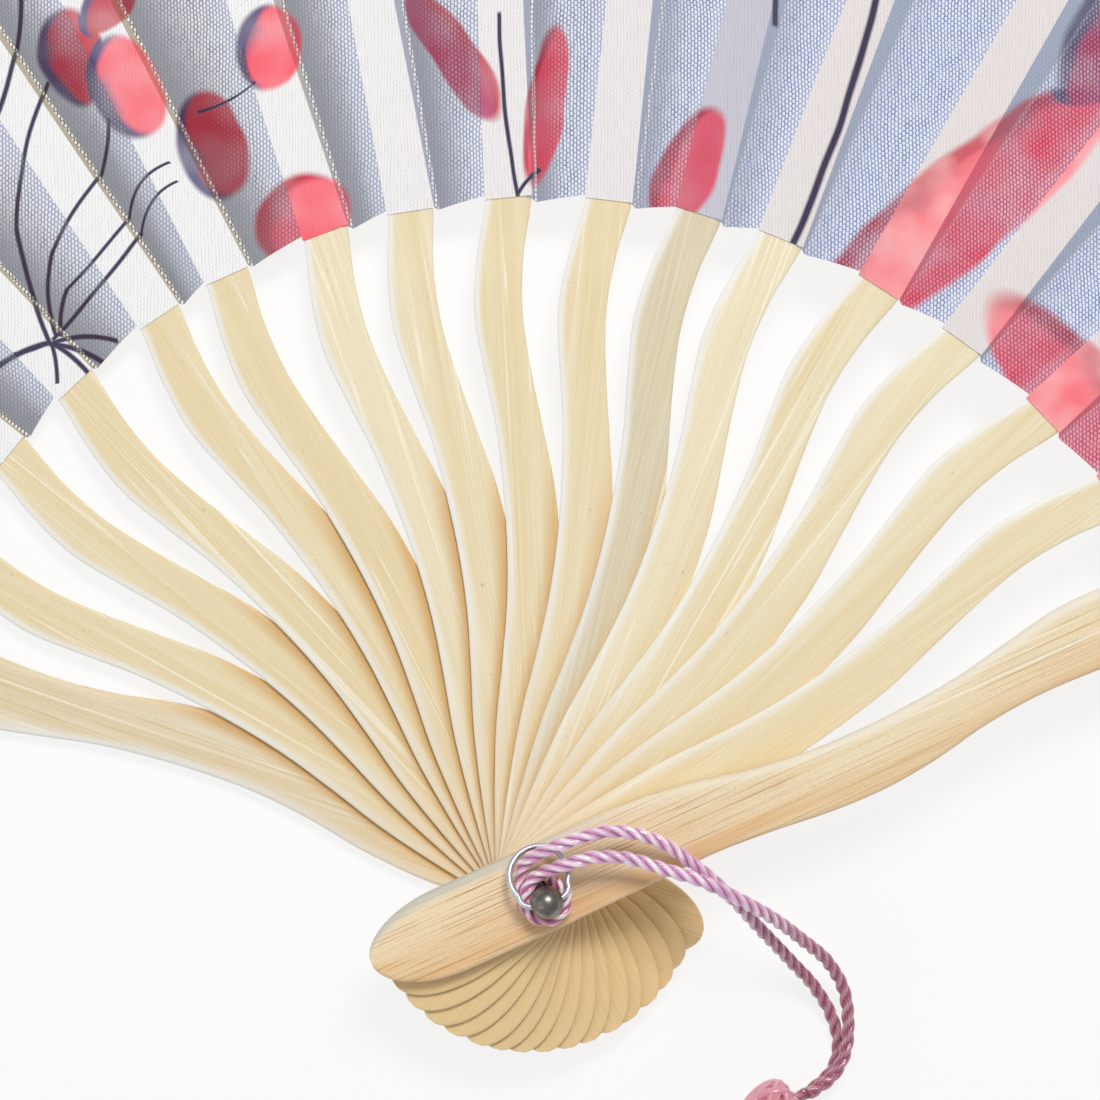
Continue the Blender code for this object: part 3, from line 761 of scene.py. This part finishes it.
def satin(name, first, second, start, end, filaments, plied):
    """Twisted rayon: fine filaments, painted shade in the creases between the plies and painted glints on
    their tops; the colour changes along the cord.
    """
    material, n, shader = new_material(name)
    round_it, along = n.uv("thread")
    depth, _ = n.uv("ply")
    hairs = n.maths("SINE", n.times(round_it, filaments * math.tau))
    blotch = n.grain(along, round_it, (0.22, 2), 2)
    satin_colour = n.mix(n.ease(along, start, end), first, second)
    fade = n.span(along, start, end, 1, 0.2) if plied else 0.25
    satin_colour = n.mix(n.times(n.span(blotch, 0.42, 0.66, 0, 0.5), fade), satin_colour, "B56FB4")
    satin_colour = n.mix(n.span(hairs, 0.2, 1, 0, 0.22), satin_colour, "F6DCEA")
    if plied:
        satin_colour = n.mix(n.span(along, 19, 8, 0, 0.75), satin_colour, "D25A82")
        # Painted glints on the tops of the plies.
        glint = n.times(n.ease(depth, 0.72, 0.97), n.span(blotch, 0.62, 0.42, 0.2, 1))
        satin_colour = n.mix(n.times(glint, fade), satin_colour, "FFF6FA")
        # Painted shade in the creases between the plies.
        satin_colour = n.mix(n.ease(depth, 0, 0.6, 0.8, 0), satin_colour, "74284A")
    n.feed(shader, {"Base Color": satin_colour, "Roughness": 0.3, "Specular IOR Level": 0.9, "Coat Weight": 0.5,
                    "Coat Roughness": 0.18, "Sheen Weight": 0.4, "Sheen Roughness": 0.35,
                    "Normal": n.bump(hairs, 0.4, 0.03 * MM)})
    return material


# ---------------------------------------------------------------- sticks

def stick_names():
    """Sticks from the bottom of the stack to its top."""
    ribs = sorted(name for name in frame["nodes"] if name.startswith("rib_"))
    return ["back_guard", *ribs, "front_guard"]


def stick_azimuths():
    """Azimuth of each stick at rest, from the front guard's and the opening at each pivot."""
    found = {"front_guard": GUARD_AZIMUTH}
    for joint in frame["joints"]:
        if joint["name"].endswith("_pivot"):
            found[joint["child"]] = found[joint["parent"]] - joint["range_deg"][0]
    return found


def stick_thickness(name, distance):
    """Thickness of a stick at a distance from the pin, before the droop."""
    thin = ramp(distance, *THINNING)
    if name.startswith("rib"):
        return RIB_THICKNESS + (SLIP_THICKNESS - RIB_THICKNESS) * thin
    taper = (GUARD_THICKNESS - GUARD_TIP_THICKNESS - GUARD_ROOM) * ramp(
        distance, GUARD_TAPER_START, GUARD_STATIONS[-1][0] * MM)
    return GUARD_THICKNESS - GUARD_ROOM * thin - taper


def stick_bottoms():
    """Height of each stick's underside at the pin, by the stick's name."""
    return {name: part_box(name)[1].z - (RIB_THICKNESS if name.startswith("rib") else GUARD_THICKNESS)
            for name in stick_names()}


CORNER_TURNS = (0.0, 30.0, 60.0, 90.0)
CROWN = (0.6, 0.25, -0.1, -0.45, -0.75)                       # points across the flat top, left to right
FOOT_BEVEL = 0.12 * MM
END_BEVEL = (0.25 * MM, 0.20 * MM)                            # along and across
GRAIN_SHIFT = (37.7, 23.3)       # mm that the grain is moved from stick to stick
NOT_COVERED = 9.0                # mm, where no stick lies above
RIB_ROUNDING = (0.50 * MM, 0.35 * MM, 0.22 * MM)              # left, right and down
GUARD_ROUNDINGS = {"front_guard": (1.10 * MM, 0.60 * MM, 0.55 * MM),
                   "back_guard": (0.45 * MM, 0.60 * MM, 0.35 * MM)}
COUNTERBORE = (3.0 * MM, 1.3 * MM)                            # radius and depth
SHADED_STICK = "rib_10"            # painted shade: this rib and the cloth on it are greyer, as for a stick turned from the light


def section_ring(left, right, low, high, round_left, round_right, depth):
    """(y, z, side) points round a stick's section, from its lower left corner up and over."""
    width = left + right
    round_left, round_right = min(round_left, width * 0.45), min(round_right, width * 0.45)
    depth = min(depth, (high - low) * 0.6)
    foot = min(FOOT_BEVEL, width * 0.2, (high - low) * 0.3)
    ring = [(left - foot, low), (left, low + foot)]
    corner = [(1 - math.cos(math.radians(a)), high - depth * (1 - math.sin(math.radians(a))))
              for a in CORNER_TURNS]
    ring += [(left - round_left * inward, z) for inward, z in corner]
    inner_left, inner_right = left - round_left, -right + round_right
    middle, half = (inner_left + inner_right) / 2.0, (inner_left - inner_right) / 2.0
    ring += [(middle + half * share, high) for share in CROWN]
    ring += [(-right + round_right * inward, z) for inward, z in corner[::-1]]
    ring += [(-right, low + foot), (-right + foot, low)]
    centre, reach = (left - right) / 2.0, max(width / 2.0, 1e-6)
    return [(y, z, (y - centre) / reach) for y, z in ring]


def stick_sections(is_rib):
    """(x, reach to the left and right) along a stick, from the tip of its rounded tail to its square end."""
    stations = np.array(RIB_STATIONS if is_rib else GUARD_STATIONS) * MM
    distances, reaches = stations[:, 0], stations[:, 1:]
    shoulder = TAIL_ROUNDING - (RIB_TAIL if is_rib else GUARD_TAIL)
    end = distances[-1]
    turns = np.radians(np.linspace(7.0, 84.0, 16))
    body = np.linspace(shoulder, end - END_BEVEL[0], round((end - shoulder) / SECTION_SPACING))
    places = np.concatenate([shoulder - TAIL_ROUNDING * np.cos(turns), body, [end]])
    straight = np.stack([np.interp(body, distances, reaches[:, k]) for k in (0, 1)], axis=1)
    curved = hermite(distances, reaches, np.maximum(body, 0.0))
    in_leaf = body[:, None] > LEAF_START
    widths = np.concatenate([reaches[0] * np.sin(turns)[:, None], np.where(in_leaf, straight, curved),
                             [reaches[-1] - END_BEVEL[1]]])
    return places, widths


def clear_of_next(x, y, turn):
    """Millimetres from a place on a stick to the edge of the stick above, turned clockwise by turn."""
    across = x * math.sin(turn) + y * math.cos(turn)
    distance = max(x * math.cos(turn) - y * math.sin(turn), 0.0)
    places, reaches = np.array(RIB_STATIONS)[:, :2].T * MM
    return (across - float(hermite(places, reaches, [distance])[0])) / MM


def make_stick(name, number, names, azimuths, bottom, material, chance):
    """One stick as a loft of rounded sections along its outline, with its pin hole."""
    azimuth, above = azimuths[name], azimuths[names[min(number + 1, len(names) - 1)]]
    turn = math.radians(azimuth - above)
    is_rib = name.startswith("rib")
    rounding = GUARD_ROUNDINGS.get(name, RIB_ROUNDING)
    places, widths = stick_sections(is_rib)
    vertices, wood, side, neighbour = [], [], [], []
    for x, (left, right) in zip(places, widths):
        top = bottom + float(stick_thickness(name, abs(x)))
        for y, z, share in section_ring(left, right, bottom, top, *rounding):
            vertices.append((x, y, z * droop(math.hypot(x, y))))
            wood.append((x / MM + GRAIN_SHIFT[0] * number, y / MM + GRAIN_SHIFT[1] * number))
            side.append((share, x / MM))
            neighbour.append((azimuth, clear_of_next(x, y, turn) if turn and x > 0.0 else NOT_COVERED))
    # The tone layer holds a random tone, and 1 for the stick that gets painted shade.
    tone = [(chance.uniform(-1.0, 1.0), 1.0 if name == SHADED_STICK else 0.0)] * len(vertices)
    faces = loft_faces(len(places), len(vertices) // len(places))
    faces = [face[::-1] for face in faces[:-2]] + faces[-2:]
    item = mesh_object(name + "_wood", vertices, faces, material,
                       {"wood": wood, "side": side, "tone": tone, "neighbour": neighbour})
    close_mesh(item.data)
    drills = [("hole", HOLE_RADIUS, -MM, 30.0 * MM, 32)]
    if name == "back_guard":
        radius, depth = COUNTERBORE
        drills.append(("counterbore", radius, -depth, depth, 48))
    for label, radius, start, end, sides in drills:
        combine(item, cylinder(label, radius, (0.0, 0.0, start), (0.0, 0.0, end), sides), "DIFFERENCE")
    sharpen(item, 38.0)
    item.matrix_world = Matrix.Rotation(math.radians(azimuth), 4, "Z")
    hand_over(item, name, name)


# ---------------------------------------------------------------- cloth

def strip_reach(name, distance):
    """Half the width of the cloth glued along a stick, just past the slip or just inside the guard."""
    if "guard" in name:
        return float(np.interp(distance, (86.0 * MM, 115.0 * MM, 188.0 * MM), (4.7 * MM, 5.7 * MM, 6.3 * MM)))
    return float(np.interp(distance, (86.0 * MM, 184.0 * MM), (3.02 * MM, 2.55 * MM)))


def cloth_object(name, rows, columns, vertices, layers, material, thickness):
    """A closed sheet of cloth from a grid of points on the side that shows."""
    item = mesh_object(name, vertices, grid_faces(rows, columns), material, layers)
    if item.data.polygons[0].normal.z < 0.0:
        item.data.flip_normals()
    apply_modifier(item, "SOLIDIFY", thickness=thickness, offset=-1.0)
    sharpen(item, 55.0)
    return item


def make_strip(index, names, azimuths, bottoms, material, chance):
    """The cloth that is glued along one slip, or along a guard's inner face."""
    name = names[index]
    azimuth = math.radians(azimuths[name])
    rows = np.linspace(0.0, 1.0, 56)
    shares = np.linspace(-1.0, 1.0, 9)
    start = LEAF_START + chance.uniform(-0.25, 0.25) * MM
    slant = chance.uniform(-0.2, 0.2) * MM
    vertices, painted = [], []
    for row in rows:
        for share in shares:
            inner = start + slant * share
            distance = inner + (LEAF_RADIUS - inner) * row
            height = bottoms[name] + STRIP_HEIGHT
            if name == "front_guard":
                height = bottoms[name] - FRONT_STRIP_DROP
            elif name == "back_guard":
                height = bottoms[name] + float(stick_thickness(name, distance)) + BACK_STRIP_LIFT
            across = -share * strip_reach(name, distance)
            angle = azimuth + math.atan2(across, distance)
            reach = math.hypot(distance, across)
            x, y = reach * math.cos(angle), reach * math.sin(angle)
            vertices.append((x, y, (height - abs(share) ** 8 * 0.05 * MM) * droop(reach)))
            painted.append((x / MM, y / MM))
    item = cloth_object(f"leaf_strip_{index:02d}", len(rows), len(shares), vertices,
                        {"print": painted}, material, STRIP_CLOTH)
    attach(item, name)
    return item


def panel_profile(gap, distance, low, high, depth, spread):
    """Places across a panel and its heights there: it falls to a crease, then rises to the next strip."""
    out = (distance - LEAF_START) / MM
    crease = min((0.55 + spread * out) * MM, gap * 0.34)
    floor = low - depth
    places = [-TUCK, -0.12 * MM, 0.10 * MM, crease * 0.45, crease - 0.14 * MM, crease, crease + 0.16 * MM]
    heights = [low, low, low - 0.03 * MM, low - depth * 0.5, floor + 0.03 * MM, floor, floor + 0.05 * MM]
    rise = high - floor - 0.05 * MM
    for share in (0.12, 0.25, 0.38, 0.51, 0.64, 0.76, 0.87, 0.95):
        places.append(crease + (gap - crease) * share)
        heights.append(floor + 0.05 * MM + rise * (share + 0.12 * math.sin(math.pi * share)))
    places += [gap + 0.10 * MM, gap + TUCK]
    heights += [high, high]
    return places, heights, crease


def make_panel(index, names, azimuths, bottoms, material, chance):
    """The cloth between two sticks.

    Its fold stays above the cloth of the stick before, so that the closed sticks stack freely.
    """
    left_name, right_name = names[index - 1], names[index]
    left, right = math.radians(azimuths[left_name]), math.radians(azimuths[right_name])
    middle = (left + right) / 2.0
    rows = np.linspace(0.0, 1.0, 64)
    depth_share = chance.uniform(0.8, 1.15)
    spread = float(np.interp(math.degrees(middle), (60.0, 85.0, 120.0), (0.062, 0.030, 0.012)))
    low = bottoms[left_name] + PANEL_HEIGHT
    if left_name == "back_guard":
        low = GUARD_THICKNESS - GUARD_ROOM + BACK_PANEL_LIFT
    high = bottoms[right_name] + PANEL_HEIGHT
    if right_name == "front_guard":
        high = bottoms[right_name] - FRONT_PANEL_DROP
    below = names[index - 2] if index > 1 else None
    room = low - TABLE_CLEARANCE
    if below:
        cloth_top = bottoms[below] + STRIP_HEIGHT
        if below == "back_guard":
            cloth_top = bottoms[below] + GUARD_THICKNESS - GUARD_ROOM + BACK_STRIP_LIFT
        room = low - PANEL_CLOTH - cloth_top - FOLD_CLEARANCE
    vertices, painted, edges = [], [], []
    for row in rows:
        nominal = LEAF_START + (LEAF_RADIUS - LEAF_START) * row
        start_angle = left - math.asin(strip_reach(left_name, nominal) / nominal)
        end_angle = right + math.asin(strip_reach(right_name, nominal) / nominal)
        gap = nominal * (start_angle - end_angle)
        fold = min((FOLD_START + FOLD_GROWTH * (nominal - LEAF_START) / MM) * MM, FOLD_LIMIT * MM)
        depth = min(depth_share * fold, room)
        places, heights, crease = panel_profile(gap, nominal, low, high, depth, spread)
        for place, height in zip(places, heights):
            sag = -0.55 * float(ramp(place, -0.2 * MM, crease)) + float(ramp(place, crease, gap))
            distance = nominal + sag * (1.0 - row) * MM
            angle = start_angle - place / nominal
            x, y = distance * math.cos(angle), distance * math.sin(angle)
            vertices.append((x, y, height * droop(distance)))
            painted.append((x / MM, y / MM))
            edges.append(((place - crease) / MM, (gap - place) / MM))
    item = cloth_object(f"leaf_panel_{index:02d}", len(rows), len(vertices) // len(rows), vertices,
                        {"print": painted, "edges": edges}, material, PANEL_CLOTH)
    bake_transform(item)
    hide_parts(f"leaf_pleat_{index:02d}")
    return item


def make_leaf(names, azimuths, bottoms):
    """All strips and panels."""
    group = print_group()
    panel_cloth, strip_cloth = panel_material(group), strip_material(group, azimuths[SHADED_STICK])
    chance = random.Random(7)
    strips = [make_strip(i, names, azimuths, bottoms, strip_cloth, chance) for i in range(len(names))]
    for index in range(1, len(names)):
        panel = make_panel(index, names, azimuths, bottoms, panel_cloth, chance)


# ---------------------------------------------------------------- steel

def make_pin(material):
    """The pin with its rivet head below, leaning neck, and drilled ball, and the washer round its foot."""
    top, rivet, head, shank, bevel = 19.3 * MM, 0.4 * MM, 2.0 * MM, 1.1 * MM, 0.1 * MM
    pin = turned("pin", [(0.0, 0.0), (head - bevel, 0.0), (head, bevel), (head, rivet), (shank, rivet),
                         (shank, top), (0.0, top)], 48, material)
    combine(pin, cylinder("neck", NECK_RADIUS, (0.0, 0.0, 17.7 * MM), BALL_CENTRE, 32), "UNION")
    ball = bmesh.new()
    bmesh.ops.create_uvsphere(ball, u_segments=48, v_segments=32, radius=BALL_RADIUS)
    bmesh.ops.translate(ball, vec=BALL_CENTRE, verts=ball.verts)
    combine(pin, shape_object("ball", ball), "UNION")
    reach = heading(RING_AXIS_AZIMUTH) * BALL_RADIUS * 1.5
    drill = cylinder("drill", BALL_HOLE_RADIUS, BALL_CENTRE - reach, BALL_CENTRE + reach, 24)
    combine(pin, drill, "DIFFERENCE")
    sharpen(pin, STEEL_EDGE)
    hand_over(pin, "front_guard", "pivot_pin")
    bottom, lid, inner, outer, bevel = 0.65 * MM, 1.0 * MM, 1.4 * MM, 2.6 * MM, 0.08 * MM
    washer = turned("washer", [(inner, bottom), (outer - bevel, bottom), (outer, bottom + bevel),
                               (outer, lid - bevel), (outer - bevel, lid), (inner, lid)], 64, material)
    sharpen(washer, STEEL_EDGE)
    hand_over(washer, "front_guard", "rivet_washer")


def make_ring(material):
    """The open wire ring whose ends turn into the ball's cross hole."""
    tips = [(0.9, 0.0), (1.9, 0.05), (2.6, 0.4), (3.1, 1.1)]
    turn = [math.radians(-30.0 + 240.0 * i / 40) for i in range(41)]
    bend = [(RING_RADIUS * math.cos(a), RING_RADIUS * (1.0 + math.sin(a))) for a in turn]
    flat = [(x * MM, y * MM) for x, y in tips] + bend + [(-x * MM, y * MM) for x, y in tips[::-1]]
    across, up = heading(RING_AXIS_AZIMUTH), Vector((0.0, 0.0, 1.0))
    tilt = math.radians(RING_TILT)
    out = up.cross(across) * math.cos(tilt) - up * math.sin(tilt)
    points = even_path([BALL_CENTRE + across * x + out * y for x, y in flat], 0.3 * MM)
    ring = tube("ring", points, round_section(RING_WIRE_RADIUS), 16, material)
    close_mesh(ring.data)
    sharpen(ring, 50.0)
    hand_over(ring, "ring_bail", "ring_bail")


# ---------------------------------------------------------------- cord and tassel

def strand_route(turn, points, extra=()):
    """Points of one strand: its turn round the neck, its free run, and what is inside the tassel."""
    x, y, height, radius, end = turn
    angles = [math.radians(HITCH_START + (end - HITCH_START) * i / 12) for i in range(13)]
    circle = [(x + radius * math.cos(a), y + radius * math.sin(a), height) for a in angles]
    return [(px * MM, py * MM, pz * MM) for px, py, pz in circle + list(points) + list(extra)]


def ply_radius(distance, angles):
    """Section of a rope of round plies, which turns once each pitch."""
    part = math.tau / PLIES
    off = (angles - math.tau * distance / PLY_PITCH + part / 2.0) % part - part / 2.0
    return PLY_OFFSET * np.cos(off) + np.sqrt(PLY_RADIUS ** 2 - (PLY_OFFSET * np.sin(off)) ** 2)


def make_strand(name, node, turn, points, extra, material):
    """One strand of the doubled cord, as three plies laid round each other."""
    path = even_path(strand_route(turn, points, extra), 0.22 * MM)
    sides = 30
    strand = tube(name, path, ply_radius, sides, material)
    angles = np.linspace(0.0, math.tau, sides, endpoint=False)
    lowest = ply_radius(0.0, np.array([math.pi / PLIES]))[0]
    heights = np.concatenate([ply_radius(distance, angles) - lowest for distance in walked(path)])
    heights /= PLY_OFFSET + PLY_RADIUS - lowest
    add_layer(strand.data, "ply", np.stack([heights, heights], axis=1))
    sharpen(strand, 70.0)
    hand_over(strand, "front_guard", node)
    return strand, path


def tassel_frame():
    """Directions along, across and up from the tassel, which lies on the table."""
    along = heading(TASSEL_AZIMUTH)
    return along, Vector((-along.y, along.x, 0.0)), Vector((0.0, 0.0, 1.0))


def make_knot(material):
    """A ball knot: a doubled cord woven over and under itself round a core."""
    along, across, up = tassel_frame()
    bights, leads, count = 7, 4, 620
    radius, swing = 0.50 * MM, math.radians(58.0)
    size = [r - radius for r in KNOT_RADII]
    core = bmesh.new()
    bmesh.ops.create_uvsphere(core, u_segments=32, v_segments=20, radius=1.0)
    inside = Matrix.Diagonal((*(r - 0.9 * MM for r in KNOT_RADII), 1.0))
    bmesh.ops.transform(core, matrix=Matrix.Translation(KNOT_CENTRE) @ inside, verts=core.verts)
    for offset in (-0.5, 0.5):
        spots = []
        for i in range(count):
            turn, wave = math.tau * leads * (i / count) + 0.16 * offset, math.tau * bights * (i / count)
            latitude = swing * math.sin(wave) + 0.13 * offset
            lift = 1.0 + 0.05 * math.cos(wave * 2.0 + turn)
            level = (across * math.cos(turn) * size[1] + up * math.sin(turn) * size[2]) * math.cos(latitude)
            spots.append(KNOT_CENTRE + (along * math.sin(latitude) * size[0] + level) * lift)
        wire = tube("knot_wire", np.array(spots + spots[:1]), round_section(radius), 8, material)
        core.from_mesh(wire.data)
        bpy.data.objects.remove(wire)
    knot = shape_object("knot", core)
    knot.data.materials.append(material)
    knot.data.shade_smooth()
    hand_over(knot, "front_guard", "tassel_knot")
    return knot


def make_head(material):
    """The tassel's head, bound with turns of thread."""
    along, across, up = tassel_frame()
    start, end, radius = TASSEL_HEAD
    level = Vector((KNOT_CENTRE.x, KNOT_CENTRE.y, radius + TASSEL_LIFT))
    wraps, steps, groove = 17, 40, 0.16 * MM
    rows = wraps * 6
    vertices, pairs = [], []
    for row in range(rows + 1):
        share = row / rows
        off = 2.0 * share - 1.0
        swell = math.sqrt(max(0.0, 1.0 - off ** 8)) * (1.0 - 0.12 * off ** 2)
        ripple = groove * abs(math.sin(math.pi * wraps * share))
        size = max((radius - groove) * swell + ripple * swell, 0.05 * MM)
        for step in range(steps):
            a = math.tau * step / steps
            offset = (across * math.cos(a) + up * math.sin(a)) * size
            vertices.append(level + along * (start + (end - start) * share) + offset)
            pairs.append((share * wraps, 40.0 * step / steps))
    faces = loft_faces(rows + 1, steps)
    head = mesh_object("tassel_head_bound", vertices, faces, material, {"thread": pairs})
    close_mesh(head.data)
    sharpen(head, 80.0)
    hand_over(head, "front_guard", "tassel_head")
    return head


def make_skirt(material):
    """The skirt: loose threads that leave the head together and spread on the table."""
    along, across, up = tassel_frame()
    start, end, near, far = TASSEL_SKIRT
    chance = random.Random(11)
    threads, rows, sides, radius = 230, 20, 5, 0.24 * MM
    foot = Vector((KNOT_CENTRE.x, KNOT_CENTRE.y, 0.0))
    middle = far * SKIRT_FLATNESS + TASSEL_LIFT
    vertices, faces, pairs = [], [], []
    for thread in range(threads):
        angle = chance.uniform(0.0, math.tau)
        share = math.sqrt(chance.uniform(0.02, 1.0))
        reach = end - chance.uniform(0.0, 2.6) * MM
        sway = [chance.uniform(-0.5, 0.5) * MM for _ in range(2)]
        phase = chance.uniform(0.0, math.tau)
        spots = []
        for row in range(rows + 1):
            t = row / rows
            size = (near + (far - near) * t) - radius * 2.0
            flatness = 1.0 + (SKIRT_FLATNESS - 1.0) * min(1.0, t * 3.0 + 0.25)
            wave = math.sin(phase + 5.0 * t) * t
            y = share * size * math.cos(angle) + sway[0] * wave
            z = middle + (share * size * flatness * math.sin(angle) + sway[1] * wave * 0.5)
            spots.append(foot + along * (start + (reach - start) * t) + across * y
                         + up * max(z, radius + 0.05 * MM))
        points = np.array(spots)
        side_a, side_b = carried_frames(points)
        faces += [tuple(i + len(vertices) for i in face) for face in loft_faces(rows + 1, sides)]
        for row, centre in enumerate(points):
            for k in range(sides):
                a = math.tau * k / sides
                vertices.append(centre + radius * (math.cos(a) * side_a[row] + math.sin(a) * side_b[row]))
                pairs.append((k / sides + thread * 0.37, row * 2.5 + thread))
    skirt = mesh_object("tassel_threads", vertices, faces, material, {"thread": pairs})
    hand_over(skirt, "front_guard", "tassel_skirt")
    return skirt


def make_cord():
    """Both strands with the knot, head and skirt that hang on them."""
    cord_satin = satin("cord_satin", "EEB0DA", "A2435C", 34.0, 62.0, 14.0, True)
    tassel_satin = satin("tassel_satin", "DC8C9C", "DC8C9C", 0.0, 1.0, 3.0, False)
    knot, head, skirt = make_knot(tassel_satin), make_head(tassel_satin), make_skirt(tassel_satin)
    strands = (("outer", LOWER_TURN, OUTER_STRAND, THROUGH_KNOT, [knot, head, skirt]),
               ("inner", UPPER_TURN, INNER_STRAND, (), [knot]))
    for side, turn, points, extra, hung in strands:
        strand, path = make_strand("strand_" + side, "cord_strand_" + side, turn, points, extra, cord_satin)


# ---------------------------------------------------------------- stage

def make_camera():
    """A view straight down on the sticks and the inner part of the leaf."""
    lens = bpy.data.cameras.new("camera")
    lens.lens, lens.sensor_width = CAMERA_LENS, CAMERA_SENSOR
    lens.clip_start, lens.clip_end = 0.01, 20.0
    camera = new_object("camera", lens)
    camera.location = CAMERA_PLACE
    bpy.context.scene.camera = camera


def make_lamp(name, place, aim, size, power, tint):
    """A square soft lamp that shines from a place towards a point."""
    lamp = bpy.data.lights.new(name, "AREA")
    lamp.shape, lamp.size, lamp.energy, lamp.color = "SQUARE", size, power, tint
    item = new_object(name, lamp)
    item.location = place
    item.rotation_euler = (Vector(aim) - Vector(place)).to_track_quat("-Z", "Y").to_euler()


def make_stage():
    """A pale floor, a pale sky and soft light from beyond the leaf."""
    material, n, shader = new_material("floor")
    n.feed(shader, {"Base Color": (0.16, 0.16, 0.16, 1.0), "Roughness": 0.9,
                    "Emission Color": (1.0, 1.0, 1.0, 1.0), "Emission Strength": 0.80})
    half, height = 3.0, -0.1 * MM
    corners = [(-half, -half, height), (half, -half, height), (half, half, height), (-half, half, height)]
    mesh_object("floor", corners, [(0, 1, 2, 3)], material)
    world = bpy.data.worlds.new("sky")
    world.use_nodes = True
    Nodes(world.node_tree).feed(world.node_tree.nodes["Background"],
                                {"Color": (0.93, 0.96, 1.0, 1.0), "Strength": 0.42})
    bpy.context.scene.world = world
    bpy.context.scene.view_settings.view_transform = "Standard"
    make_lamp("key", (0.14, 0.52, 0.95), (0.0, 0.06, 0.0), 0.30, 6.6, (1.0, 0.975, 0.93))
    make_lamp("fill", (-0.7, -0.2, 0.6), (0.0, 0.05, 0.0), 0.8, 1.4, (0.92, 0.95, 1.0))


make_camera()
make_stage()
make_cord()
steel = steel_material("pin_steel", "8C8882", 0.20, 0.5)
ring_steel = steel_material("ring_steel", "D6DAE2", 0.26, 0.1)
make_pin(steel)
make_ring(ring_steel)
rib_wood = bamboo("rib_bamboo", "F0E5C6", "EBD9B0", "D0AC70", 0.22, "F2F2EE",
                  "E9CA95")
back_wood = bamboo("back_guard_bamboo", "EEE3CC", "E6D2AC", "C79E60", 0.5,
                   "F0EFEA", "E9CA95")
guard_wood = bamboo("guard_bamboo", "F3E2BE", "EBCF9C", "B57C3C", 0.8, "ECE6D6",
                    "F8E2BC", shaded_side=0.5)
names, azimuths, bottoms = stick_names(), stick_azimuths(), stick_bottoms()
tones = random.Random(5)
for number, name in enumerate(names):
    wood = {"back_guard": back_wood, "front_guard": guard_wood}.get(name, rib_wood)
    make_stick(name, number, names, azimuths, bottoms[name], wood, tones)
make_leaf(names, azimuths, bottoms)
